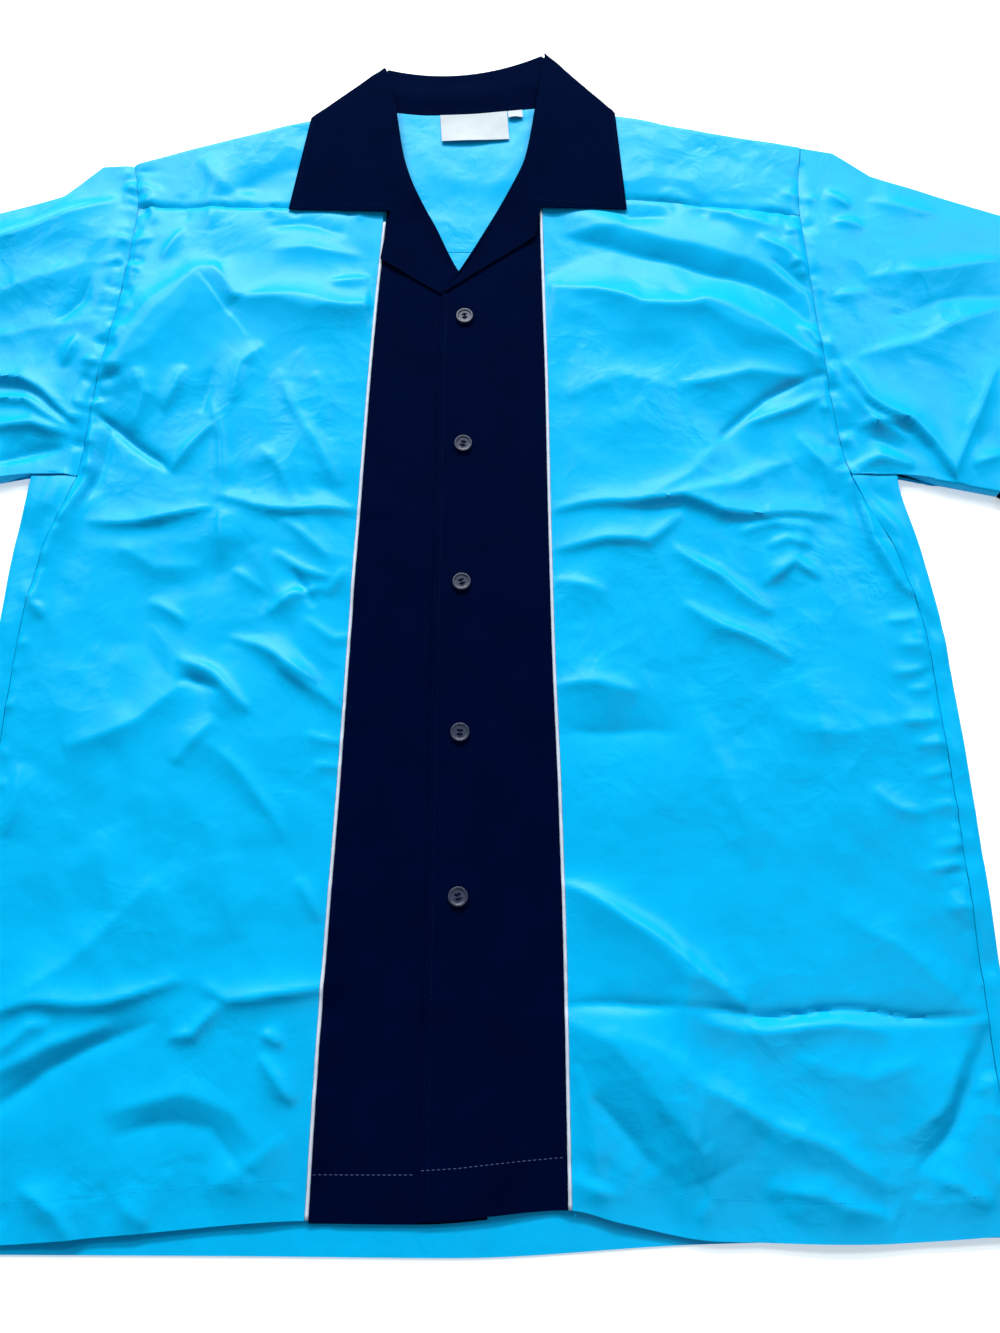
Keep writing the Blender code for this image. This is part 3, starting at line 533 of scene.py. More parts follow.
centreFolds = [
    ([(-74, 31), (-30, 28)], 0.8, 8, 5),
    ([(0, -20), (50, -44)], 0.7, 12, 12),
    ([(-66, -297), (54, -304)], 0.8, 6, 6),
    ([(-60, -200), (-20, -240)], 0.7, 14, 14),
    ([(10, -350), (46, -396)], 1.2, 14, 12),
    ([(-70, -360), (-36, -402)], 1.1, 12, 12),
    ([(-24, 130), (-22, -100), (-23, -400)], 0.5, 3, 3),
    ([(44, 362), (32, 344), (19, 326)], 1.5, 4, 6),
    ([(41, 344), (26, 318), (6, 293)], 2.6, 5, 6),
    ([(32, 314), (16, 284), (-3, 258)], 2.4, 6, 5),
    ([(-41, 350), (-34, 330), (-28, 308)], 2.0, 5, 5),
    ([(-19, 326), (-12, 300), (-9, 277)], 2.0, 6, 4),
    ([(20, 352), (0, 334), (-14, 330)], 1.1, 5, 7),
]
backFolds = [
    ([(-220, 150), (-60, 110)], 1.2, 8, 14),
    ([(60, 40), (220, -20)], 1.2, 14, 10),
    ([(-230, -60), (-40, -110)], 1.1, 10, 16),
    ([(30, -200), (200, -260)], 1.2, 16, 10),
    ([(-200, -320), (20, -300)], 1.0, 8, 8),
    ([(-40, 230), (80, 190)], 1.0, 12, 12),
]
frontFolds = (
    chestLeftFolds + chestRightFolds + bodyLeftFolds + bodyRightFolds + hemLeftFolds
    + hemRightFolds + sleeveLeftFolds + sleeveRightFolds
)


def bent(points, reach, pace, turn=0.0):
    # the points shifted a little this way and that, so that no fold runs straight
    x, y = points[:, 0], points[:, 1]
    shift = np.stack([
        np.sin(y / pace + 1.3 + turn) + 0.7 * np.sin((x + 0.6 * y) / (0.62 * pace) + 4.1 * turn),
        np.sin(x / (1.1 * pace) + 2.2 * turn) + 0.7 * np.sin((y - 0.8 * x) / (0.55 * pace) + 0.7),
    ], axis=1)
    return points + reach * shift


def foldLift(points, folds):
    # height that a table of folds adds at each point
    lift = np.zeros(len(points))
    points = bent(points, 1.7, 19.0)
    for path, height, leftFall, rightFall in folds:
        path = np.array(path, float)
        runs = np.hypot(*np.diff(path, axis=0).T)
        total, far = runs.sum(), 3.2 * max(leftFall, rightFall)
        low, high = path.min(axis=0) - far, path.max(axis=0) + far
        near = np.flatnonzero(((points > low) & (points < high)).all(axis=1))
        spots = points[near]
        best = np.full(len(near), 1e9)
        side, place, over = np.zeros(len(near)), np.zeros(len(near)), np.zeros(len(near))
        done = 0.0
        for number, (start, end, run) in enumerate(zip(path, path[1:], runs)):
            ahead = (end - start) / run
            t = (spots - start) @ ahead
            inside = np.clip(t, 0, run)
            away = spots - start - inside[:, None] * ahead
            far = np.hypot(away[:, 0], away[:, 1])
            closer = far < best
            best = np.where(closer, far, best)
            left = (spots[:, 1] - start[1]) * ahead[0] - (spots[:, 0] - start[0]) * ahead[1]
            past = ((t < 0) & (number == 0)) | ((t > run) & (number == len(runs) - 1))
            side = np.where(closer, np.where(past, left, np.copysign(far, left)), side)
            place = np.where(closer, (done + inside) / total, place)
            over = np.where(closer, np.where(past, np.abs(t - inside), 0), over)
            done += run
        arch = 4 * place * (1 - place)
        fall = np.where(side > 0, leftFall, rightFall) * (0.6 + 0.4 * arch)
        # a crest that is just rounded off, and flanks that run out nearly straight
        away = np.maximum(np.sqrt(side**2 + 0.5) - 0.7, 0)
        ending = 0.5 * min(leftFall, rightFall) + 2
        crest = np.exp(-((away / fall) ** 1.08) - (over / ending) ** 2)
        lift[near] += height * (0.08 + 0.92 * arch**0.75) * crest
    return lift


def facets(points, cell, seed):
    # crumpled cloth: small flat faces between random heights, in a lattice that is bent
    heights = np.random.default_rng(seed).uniform(-1, 1, (96, 96))
    soft = 0.055 * cell
    total = 0
    for shift in ((soft, soft), (-soft, soft), (soft, -soft), (-soft, -soft)):
        spots = bent(points + shift, 0.26 * cell, 1.1 * cell, seed) / cell + 40
        corner = np.floor(spots).astype(int)
        u, v = (spots - corner).T
        i, j = corner.T % 95
        low, right, up, top = heights[i, j], heights[i + 1, j], heights[i, j + 1], heights[i + 1, j + 1]
        first = low + u * (right - low) + v * (up - low)
        second = top + (1 - u) * (up - top) + (1 - v) * (right - top)
        total = total + np.where(u + v < 1, first, second) / 4
    return total


def seamTicks(path, spacing, length, height, seed, sides=(1, -1)):
    # short puckers standing off a seam on one or both sides, unevenly
    rng = np.random.default_rng(seed)
    path = [np.array(p[:2], float) for p in path]
    ticks = []
    total = sum(np.linalg.norm(b - a) for a, b in zip(path, path[1:]))
    place = rng.uniform(0, spacing)
    while place < total:
        left = place
        for a, b in zip(path, path[1:]):
            run = np.linalg.norm(b - a)
            if left <= run:
                break
            left -= run
        ahead = (b - a) / run
        start = a + ahead * min(left, run)
        for side in sides:
            if rng.random() < 0.72:
                out = np.array([-ahead[1], ahead[0]]) * side
                slant = rng.uniform(-0.6, 0.6)
                reach = length * rng.uniform(0.5, 1.3)
                end = start + (out + ahead * slant) * reach
                size = height * rng.uniform(0.5, 1.2) * rng.choice([1, -1], p=[0.62, 0.38])
                falls = rng.uniform(2.2, 4.6, 2)
                ticks.append(([start, end], size, *falls))
        place += spacing * rng.uniform(0.5, 1.6)
    return ticks


def toRow(points):
    return [(x - moved[0], y - moved[1]) for x, y in points]


armholeHeights = [plan["pit"] + n * (711 - plan["pit"]) / 24 for n in range(25)]
armholes = {
    side: toRow([(signs[side] * seamX[side](y), y) for y in armholeHeights + [735, 757]])
    for side in signs
}
pipings = {
    side: toRow([(signs[side] * pipingX[side](y), y) for y in range(20, 720, 20)]) for side in signs
}
sideSeams = {
    side: toRow([(signs[side] * seamX[side](y), y) for y in range(10, 490, 20)]) for side in signs
}
yokeSeams = {
    "left": toRow([(x, yokeSeamY(x)) for x in range(66, 254, 12)]),
    "right": toRow([(-x, yokeSeamY(-x)) for x in range(66, 252, 12)]),
}
hemLine = toRow([(x, frontHemY(x) + 22) for x in range(-300, 320, 20)])
ticks = (
    seamTicks(armholes["left"], 12, 13, 1.8, 3)
    + seamTicks(armholes["right"], 10, 14, 2.0, 5)
    + seamTicks(pipings["left"], 15, 15, 1.5, 7, sides=(1,))
    + seamTicks(pipings["right"], 12, 17, 1.7, 9, sides=(-1,))
    + seamTicks(sideSeams["left"], 15, 10, 1.2, 11)
    + seamTicks(sideSeams["right"], 15, 11, 1.3, 13)
    + seamTicks(yokeSeams["left"], 17, 12, 1.2, 15)
    + seamTicks(yokeSeams["right"], 17, 12, 1.2, 17)
    + seamTicks(hemLine, 14, 11, 0.8, 19)
)
# seams that the cloth dips into: path, depth, width
grooves = [
    (armholes["left"], 1.6, 2.8), (armholes["right"], 1.6, 2.8), (sideSeams["left"], 1.0, 2.4),
    (sideSeams["right"], 1.0, 2.4), (yokeSeams["left"], 1.5, 2.4), (yokeSeams["right"], 1.5, 2.4),
]


def grooveDip(points, paths):
    dip = np.zeros(len(points))
    for path, depth, width in paths:
        nearest = np.full(len(points), 1e9)
        for a, b in zip(path, path[1:]):
            ab = np.array(b) - np.array(a)
            t = np.clip(((points - np.array(a)) @ ab) / (ab @ ab), 0, 1)
            away = points - (np.array(a) + t[:, None] * ab)
            nearest = np.minimum(nearest, np.hypot(away[:, 0], away[:, 1]))
        dip += depth * np.exp(-((nearest / width) ** 2))
    return dip


def smoothArray(t):
    t = np.clip(t, 0, 1)
    return t * t * (3 - 2 * t)


crumples = {"cell": 44.0, "height": 1.5, "fineCell": 17.0, "fineHeight": 0.7}
# past softLow and softHigh the folds are flattened, and nothing goes below floor
limits = {"softLow": -1.2, "softHigh": 11.0, "nearBack": -0.4, "floor": -0.75}
strengths = {"folds": 1.3, "swell": 3.6, "longWave": 1.0, "shortWave": 0.5}


def liftAt(points):
    # what the folds add to the upper layer: nothing under the collar, little on the centre panels
    x, y = points[:, 0] + moved[0], points[:, 1] + moved[1]
    fromPiping = np.abs(x) - np.where(x > 0, 58, 66)
    calm = smoothArray(fromPiping / 8)
    underCollar = 1 - smoothArray((y - 706) / 24) * (1 - smoothArray((np.abs(x) - 100) / 46))
    onYoke = smoothArray((y - 690) / 40)
    swell = (
        strengths["swell"]
        + strengths["longWave"] * np.sin(y / 61.0 + 0.4) * np.sin(x / 74.0 + 1.1)
        + strengths["shortWave"] * np.sin((x + y) / 43.0)
    ) * (1 - 0.55 * onYoke) * smoothArray(fromPiping / 46)
    swell *= 0.3 + 0.7 * smoothArray((y - 10) / 60)
    creased = 0.55 + 0.45 * np.sin(y / 120.0 + 2.0) * np.sin(x / 90.0 + 0.5)
    creased += 0.5 * np.exp(-(((np.abs(x) - 290) / 60) ** 2) - ((y - 520) / 90) ** 2)
    creased += 1.4 * np.exp(-(((x + 130) / 80) ** 2) - ((y - 410) / 75) ** 2)
    folds = strengths["folds"] * foldLift(points, frontFolds) + foldLift(points, ticks) + swell
    folds += creased * (
        crumples["height"] * facets(points, crumples["cell"], 4)
        + crumples["fineHeight"] * facets(points, crumples["fineCell"], 8)
    )
    low, high, near = limits["softLow"], limits["softHigh"], limits["nearBack"]
    folds = np.where(folds < low, low + 0.2 * (folds - low), folds)
    folds = np.where(folds > high, high + 0.3 * (folds - high), folds)
    centre = foldLift(points, centreFolds) * (1 - calm)
    total = folds * calm * underCollar + centre - grooveDip(points, grooves) * underCollar
    # creases stop short of the back, which lies just below
    eased = np.where(total < near, near + 0.35 * (total - near), total)
    return np.maximum(eased, limits["floor"])


def nothingSelected():
    bpy.ops.object.select_all(action="DESELECT")


def applied(piece, modifier):
    nothingSelected()
    bpy.context.view_layer.objects.active = piece
    piece.select_set(True)
    bpy.ops.object.modifier_apply(modifier=modifier.name)


def sheetObject(name, rows, material, closed=False, wall=cloth, folds=True):
    # a cloth piece through rows of points, raised by the folds, with its thickness
    count = len(rows[0])
    points = np.array([p if p else (0, 0, -99) for row in rows for p in row], float)
    points[:, 0] -= moved[0]
    points[:, 1] -= moved[1]
    missing = points[:, 2] < -50
    if folds:
        upper = smoothArray((points[:, 2] - cloth) / (layer + air - 0.5))
        high = smoothArray((points[:, 2] - 5.2) / 2.0)  # the collar keeps its own shape
        lower = 1 - smoothArray((points[:, 2] - cloth / 2 - 0.05) / 0.3)
        calm = smoothArray((np.abs(points[:, 0]) - 66) / 20)
        shallow = foldLift(points[:, :2], backFolds) * (0.45 + 0.55 * calm)
        points[:, 2] += liftAt(points[:, :2]) * upper * (1 - high) + shallow * lower
    faces, spots = [], []
    for r in range(len(rows) - 1):
        for n in range(count if closed else count - 1):
            m = (n + 1) % count
            corners = (r * count + n, r * count + m, (r + 1) * count + m, (r + 1) * count + n)
            if not missing[list(corners)].any():
                faces.append(corners)
                spots += [(n, r), (n + 1, r), (n + 1, r + 1), (n, r + 1)]
    mesh = bpy.data.meshes.new(name)
    mesh.from_pydata((points * mm).tolist(), [], faces)
    uv = mesh.uv_layers.new(name="cut")
    for place, (n, r) in zip(uv.data, spots):
        place.uv = (n / max(1, count), r / (len(rows) - 1))
    piece = bpy.data.objects.new(name, mesh)
    bpy.context.scene.collection.objects.link(piece)
    mesh.materials.append(material)
    wire = bmesh.new()
    wire.from_mesh(mesh)
    bmesh.ops.delete(wire, geom=[v for v in wire.verts if not v.link_faces], context="VERTS")
    wire.to_mesh(mesh)
    wire.free()
    thick = piece.modifiers.new("wall", "SOLIDIFY")
    thick.thickness = wall * mm
    thick.offset = 0
    applied(piece, thick)
    bpy.ops.object.shade_smooth_by_angle(angle=math.radians(50))
    piece.select_set(False)
    return piece


def settleIn(piece, node):
    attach(piece, "root")
    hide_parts(node)


def sewnOn(name, mesh, material, slot):
    # a finished mesh as a piece that rides on the garment
    mesh.materials.clear()
    mesh.materials.append(material)
    piece = bpy.data.objects.new(name, mesh)
    bpy.context.scene.collection.objects.link(piece)
    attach(piece, "root")
    return piece


def tubeBack():
    rows = []
    for station in [490 * n / 96 for n in range(97)] + [490.6 + 189.1 * n / 38 for n in range(39)]:
        ends = {side: backEnd(side, station) for side in signs}
        left, right = ends["left"][0], ends["right"][0]
        middle = []
        for t in shares(110)[1:-1]:
            x = right[0] + (left[0] - right[0]) * t
            y = backRowY(station, x)
            middle.append((x, y, backZ(x, y)))
        rows.append(ends["right"][::-1] + middle + ends["left"])
    return rows


def backRowY(station, x):
    if station > plan["pit"]:
        return station
    hem = backHemY(x)
    return hem + (plan["pit"] - seamGap / 2 - hem) * station / plan["pit"]


def backEnd(side, station):
    s = signs[side]
    y = backRowY(station, s * 300)
    if station > plan["pit"]:
        x = s * (backArmholeX(side, y) - seamGap / 2)
        return [(x, y, backZ(x, y))] + [None] * 11
    out, seam = outerX[side](y), seamX[side](y) + seamGap / 2
    topZ = frontZ(s * out, y)
    fold = out - (topZ - cloth / 2) / 2 - cloth / 2
    seam = min(seam, fold - 1.5)
    low, high = (s * fold, y, cloth / 2), (s * fold, y, topZ)
    strip = [(s * (fold + (seam - fold) * t), y, topZ) for t in shares(5)]
    return [low] + turn(low, high, (s, 0, 0)) + strip


def frontSideRows(side):
    s = signs[side]
    rows = []
    for v in shares(320):
        row = []
        for u in shares(108):
            y = 20 + 695 * v
            for _ in range(3):
                inner = pipingX[side](y) + plan["pipingGap"]
                x = s * (inner + (seamX[side](y) - seamGap / 2 - inner) * u)
                hem, top = frontHemY(x), yokeSeamY(x) - seamGap / 2
                y = hem + (top - hem) * v
            row.append((x, y, frontZ(x, y)))
        rows.append(row)
    return rows


def centreLayer(side, x):
    return 0.0 if side == "right" else layer * (1 - min(1, max(0, (x - 24) / 32)))


def frontCentreRows(side):
    s = signs[side]
    rows = []
    for v in shares(220):
        row = []
        for u in shares(26):
            y = 20 + 700 * v
            for _ in range(3):
                outer, inner = pipingX[side](y) - plan["pipingGap"], rollX[side](y)
                x = s * (inner + (outer - inner) * u)
                hem = frontHemY(x) - (1.5 if side == "right" else 0)
                top = yokeSeamY(s * plan["yokeFront"]) - seamGap / 2
                y = hem + (top - hem) * v
            row.append((x, y, frontZ(x, y) + centreLayer(side, x)))
        rows.append(row)
    return rows


def lapelRows(side):
    s = signs[side]
    tip, low, notch = collars[side][4], collars[side][5], collars[side][3]
    start = plan["break"] + (3 if side == "left" else 19.5)
    end = plan["gorge"] - 0.2
    outline = through([low, tip, (notch[0], notch[1] - 0.2)])
    rows = []
    for v in shares(60):
        yIn = start + (end - start) * v
        inner, outer = (rollX[side](yIn), yIn), outline(v)
        meets = smooth((v - 0.7) / 0.3)
        row = []
        for u in shares(34):
            x, y = mix(inner, outer, u)
            x *= s
            # rolled at its fold, thin at its edge, and lifted over the piping
            rise = layer + 0.3 + 1.1 * smooth((abs(x) - 40) / 12)
            rise += 1.4 * math.exp(-((u / 0.12) ** 2)) * smooth(v * 4)
            z = frontZ(x, y) + centreLayer(side, x) + rise
            row.append((x, y, z + (collarZ(side, x, y) - z) * meets))
        rows.append(row)
    return rows


def collarZ(side, x, y):
    over = plan["collarLift"] + plan["rollLift"] * (1 - smooth((abs(x) - rollX[side](y)) / 26))
    return cloth / 2 + 2 * layer + air + over * (1 - 0.35 * smooth((y - 815) / 40))


def collarFrontRow(side, a, steps):
    corner, shoulder, tip, notch = collars[side][:4]
    gorge = (rollX[side](plan["gorge"]), plan["gorge"])
    yRoll = plan["gorge"] + (corner[1] - plan["gorge"]) * a
    inner = (rollX[side](yRoll) if a < 1 else corner[0], yRoll)
    chord = mix(gorge, corner, a)
    row = []
    for w in shares(steps):
        low = mix(gorge, notch, w / 0.2) if w <= 0.2 else mix(notch, tip, (w - 0.2) / 0.8)
        x, y = mix(low, mix(corner, shoulder, w), a)
        x, y = x + (inner[0] - chord[0]) * (1 - w), y + (inner[1] - chord[1]) * (1 - w)
        y -= 3.0 * smooth((a - 0.8) / 0.2) * (1 - smooth(w / 0.2))  # a blunt corner
        row.append((signs[side] * x, y, collarZ(side, x, y)))
    return row


def collarFallRow(t, steps):
    right, left = collars["right"], collars["left"]
    bow = 4 * t * (1 - t)
    rollAt = mix((-right[0][0], right[0][1]), left[0], t)
    edgeAt = mix((-right[1][0], right[1][1]), left[1], t)
    rollY = rollAt[1] + (collarBack["rollMid"] - (right[0][1] + left[0][1]) / 2) * bow
    edgeY = edgeAt[1] + (collarBack["edgeMid"] - (right[1][1] + left[1][1]) / 2) * bow
    return [(*mix((rollAt[0], rollY), (edgeAt[0], edgeY), w), cloth / 2) for w in shares(steps)]


def collarRows(steps=30):
    leaf = {}
    for side in signs:
        corner, shoulder = collars[side][:2]
        front = [collarFrontRow(side, a, steps) for a in shares(44)]
        out = Vector((signs[side] * (corner[1] - shoulder[1]), shoulder[0] - corner[0], 0)).normalized()
        columns = []
        for n, high in enumerate(front[-1]):
            pinch = 0.3 + 0.7 * smooth(n / 5)  # the end of the fold is pressed flat
            inset = out * ((high[2] - cloth / 2) / 2 + cloth / 2) * pinch
            highIn = Vector(high) - inset
            lowIn = Vector((high[0], high[1], cloth / 2)) - inset
            columns.append([tuple(highIn)] + turn(lowIn, highIn, out * pinch, 8)[::-1] + [tuple(lowIn)])
        turned = [[column[n] for column in columns] for n in range(len(columns[0]))]
        leaf[side] = (front[:-1] + turned[:-1], turned[-1])
    fall = [leaf["right"][1]] + [collarFallRow(t, steps) for t in shares(40)[1:-1]] + [leaf["left"][1]]
    rows = leaf["right"][0] + fall + leaf["left"][0][::-1]
    first = len(leaf["right"][0])
    blank = [None] * 17
    stands = {first + n: collarStand(row[0]) for n, row in enumerate(fall)}
    return [stands.get(n, blank) + row for n, row in enumerate(rows)]


def collarStand(rollPoint):
    x = rollPoint[0] * 0.86
    seam = (x, neckY(x) + seamGap / 2, cloth / 2 + layer)
    top = (rollPoint[0], rollPoint[1], cloth / 2 + layer)
    rise = []
    for t in shares(11):
        x, y, z = mix(seam, top, t)
        rise.append((x, y, z + 1.6 * math.sin(math.pi * min(1, t * 1.15)) ** 2))
    return rise + turn(rollPoint, top, (0, 1, 0), 6)[::-1]


def yokeColumn(side, t):
    low = plan["backYokeSeam"] + seamGap / 2
    if side is None:
        top = neckY(t) - seamGap / 2
        back = [(t, low + (top - low) * v) for v in shares(30)]
        return [(x, y, backZ(x, y)) for x, y in back] + [None] * 31
    s = signs[side]

    def across(y, inner):
        return s * (inner + (seamX[side](y) - seamGap / 2 - inner) * t)

    foldY = shoulderY(across(765, plan["neck"]))
    seamY = yokeSeamY(across(720, plan["yokeFront"])) + seamGap / 2
    turnY = foldY - (layer + air) / 2 - cloth / 2
    points = []
    for v in shares(30):
        y = low + (turnY - low) * v
        x = across(min(y, 775), plan["neck"]) * v + across(y, plan["neck"]) * (1 - v)
        points.append((x, y, backZ(x, y)))
    foldX = across(turnY, plan["neck"])
    high = (foldX, turnY, frontZ(foldX, turnY))
    points += turn(points[-1], high, (0, 1, 0)) + [high]
    for v in shares(25)[1:]:
        y = turnY + (seamY - turnY) * v
        x = across(y, plan["neck"] + (plan["yokeFront"] - plan["neck"]) * v)
        points.append((x, y, frontZ(x, y)))
    return points


def yokeRows():
    columns = [yokeColumn("right", t) for t in shares(54)[::-1]]
    columns += [yokeColumn(None, x) for x in np.linspace(-56, 56, 29)]
    columns += [yokeColumn("left", t) for t in shares(54)]
    return [[column[n] for column in columns] for n in range(len(columns[0]))]


def coons(start, end, low, high, s, t):
    def blend(n):
        sides = low(s)[n] * (1 - t) + high(s)[n] * t
        ends = start(t)[n] * (1 - s) + end(t)[n] * s
        corners = (
            low(0)[n] * (1 - s) * (1 - t) + low(1)[n] * s * (1 - t)
            + high(0)[n] * (1 - s) * t + high(1)[n] * s * t
        )
        return sides + ends - corners

    return blend(0), blend(1)


def tubeRows(side, arms, low, high, long, closing):
    sg = signs[side]
    cuffEnd = through([low(1), high(1)])
    plans = [lambda s, t, arm=through(arm): coons(arm, cuffEnd, low, high, s, t) for arm in arms]
    rows = []
    for s in shares(long):
        lowEdge, highEdge = plans[0](s, 0), plans[0](s, 1)
        width = math.dist(lowEdge, highEdge)
        up = ((highEdge[0] - lowEdge[0]) / width, (highEdge[1] - lowEdge[1]) / width)
        inset = ((layer + air) / 2 + cloth / 2) / width
        front, rear = [], []
        for face, flat, rise in ((front, plans[0], layer + air), (rear, plans[1], 0)):
            for t in shares(closing):
                x, y = flat(s, min(1 - inset, max(inset, t)))
                face.append((sg * x, y, backZ(sg * x, y) + rise))
        out = (sg * up[0], up[1], 0)
        rows.append(
            front + turn(rear[-1], front[-1], out)[::-1] + rear[::-1]
            + turn(rear[0], front[0], (-out[0], -out[1], 0))
        )
    return rows


def sleeveRows(side):
    shoulder, crown, upper, cuffTop, cuffLow, under, pit = sleeves[side]
    heights = [plan["pit"] + 0.3 + (shoulder[1] - plan["pit"] - 1) * n / 40 for n in range(41)]
    half = seamGap / 2
    shoulder = (seamX[side](shoulder[1]) + half, shoulder[1])
    arms = [
        [pit] + [(seamX[side](y) + half, y) for y in heights] + [shoulder],
        [pit] + [(backArmholeX(side, y) + half, y) for y in heights] + [shoulder],
    ]
    low, high = through([pit, under, cuffLow]), through([shoulder, crown, upper, cuffTop])
    return tubeRows(side, arms, low, high, 84, 118)


def cuffRows(side):
    cuffTop, cuffLow = sleeves[side][3], sleeves[side][4]
    width = math.dist(cuffLow, cuffTop)
    up = ((cuffTop[0] - cuffLow[0]) / width, (cuffTop[1] - cuffLow[1]) / width)
    out = (up[1], -up[0])

    def corner(base, far, more=0.0):
        return base[0] + out[0] * far + up[0] * more, base[1] + out[1] * far + up[1] * more

    low = through([corner(cuffLow, 0.8), corner(cuffLow, 32, -2)])
    high = through([corner(cuffTop, 0.8), corner(cuffTop, 32, 1)])
    arm = [mix(low(0), high(0), t) for t in shares(8)]
    return tubeRows(side, [arm, arm], low, high, 10, 70)


made = {}
back = made["back"] = sheetObject("backPanel", tubeBack(), turquoise)
settleIn(back, "back")
yoke = made["yoke"] = sheetObject("yokePiece", yokeRows(), turquoise)
settleIn(yoke, "yoke")
print("back and yoke made")
for side in signs:
    panel = made[f"{side}Side"] = sheetObject(f"{side}SidePanel", frontSideRows(side), turquoise)
    settleIn(panel, f"front_{side}_side")
    centre = made[f"{side}Centre"] = sheetObject(f"{side}CentrePanel", frontCentreRows(side), navy)
    settleIn(centre, f"front_{side}_centre")
    lapel = made[f"{side}Lapel"] = sheetObject(f"{side}Lapel", lapelRows(side), navy)
    settleIn(lapel, f"lapel_{side}")
    sleeve = made[f"{side}Sleeve"] = sheetObject(f"{side}Sleeve", sleeveRows(side), turquoise, closed=True)
    settleIn(sleeve, f"sleeve_{side}")
    cuff = made[f"{side}Cuff"] = sheetObject(f"{side}Cuff", cuffRows(side), navy, closed=True)
    settleIn(cuff, f"cuff_{side}")
    print(side, "front and sleeve made")
collar = made["collar"] = sheetObject("campCollar", collarRows(), navy, folds=False)
settleIn(collar, "collar")
print("collar made")


def topOf(side, points, extra=0.0):
    # height of the cloth's upper face at points of the front, in metres
    plain = [
        frontZ(x + moved[0], y + moved[1])
        + (centreLayer(side, abs(x + moved[0])) if abs(x + moved[0]) < pipingX[side](y + moved[1]) else 0)
        for x, y in points
    ]
    return (np.array(plain) + liftAt(np.array(points, float)) + cloth / 2 + extra) * mm


pipingSizes = {"radius": 1.12, "steps": 240, "round": 12, "short": 14.0}


def pipingRows(side):
    # a bias-covered cord in the seam between a centre panel and a side panel
    s = signs[side]
    bottom = frontHemY(s * pipingX[side](20)) + 0.2
    top = yokeSeamY(s * plan["yokeFront"]) - pipingSizes["short"]
    ys = [bottom + (top - bottom) * t for t in shares(pipingSizes["steps"])]
    points = np.array([(s * pipingX[side](y) - moved[0], y - moved[1]) for y in ys])
    middle = topOf("right", points + [(0.0, 0.0)]) / mm - cloth / 2 + 0.2
    rows = []
    for n, (x, y) in enumerate(points):
        # the cover puckers a little where the seam takes it in
        radius = pipingSizes["radius"] * (1 + 0.045 * math.sin(n * 1.9) + 0.03 * math.sin(n * 0.7))
        row = []
        for k in range(pipingSizes["round"]):
            angle = 2 * math.pi * k / pipingSizes["round"]
            row.append((x + radius * math.cos(angle), y, middle[n] + 0.92 * radius * math.sin(angle)))
        rows.append(row)
    return rows


def tubeMesh(name, rows, material, slot):
    # a closed skin round rings of points, in millimetres from the origin
    wire = bmesh.new()
    rings = [[wire.verts.new(Vector(p) * mm) for p in row] for row in rows]
    count = len(rows[0])
    for a, b in zip(rings, rings[1:]):
        for n in range(count):
            m = (n + 1) % count
            wire.faces.new((a[n], a[m], b[m], b[n]))
    wire.faces.new(rings[0][::-1])
    wire.faces.new(rings[-1])
    bmesh.ops.recalc_face_normals(wire, faces=wire.faces)
    mesh = bpy.data.meshes.new(name)
    wire.to_mesh(mesh)
    wire.free()
    mesh.polygons.foreach_set("use_smooth", [True] * len(mesh.polygons))
    return sewnOn(name, mesh, material, slot)


for side in signs:
    cord = tubeMesh(f"{side}Piping", pipingRows(side), pipingCloth, "piping_cloth")
    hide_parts(f"piping_{side}")
    made[f"{side}Piping"] = cord
print("piping made")

stitchSizes = {"pitch": 3.1, "length": 2.3, "radius": 0.24, "sunk": 0.08, "sides": 6}


def spread(path, pitch):
    # points at an even pitch along a path
    at = through(path)
    total = sum(math.dist(a, b) for a, b in zip(path, path[1:]))
    return np.array([at(t) for t in np.arange(0, total, pitch) / total])


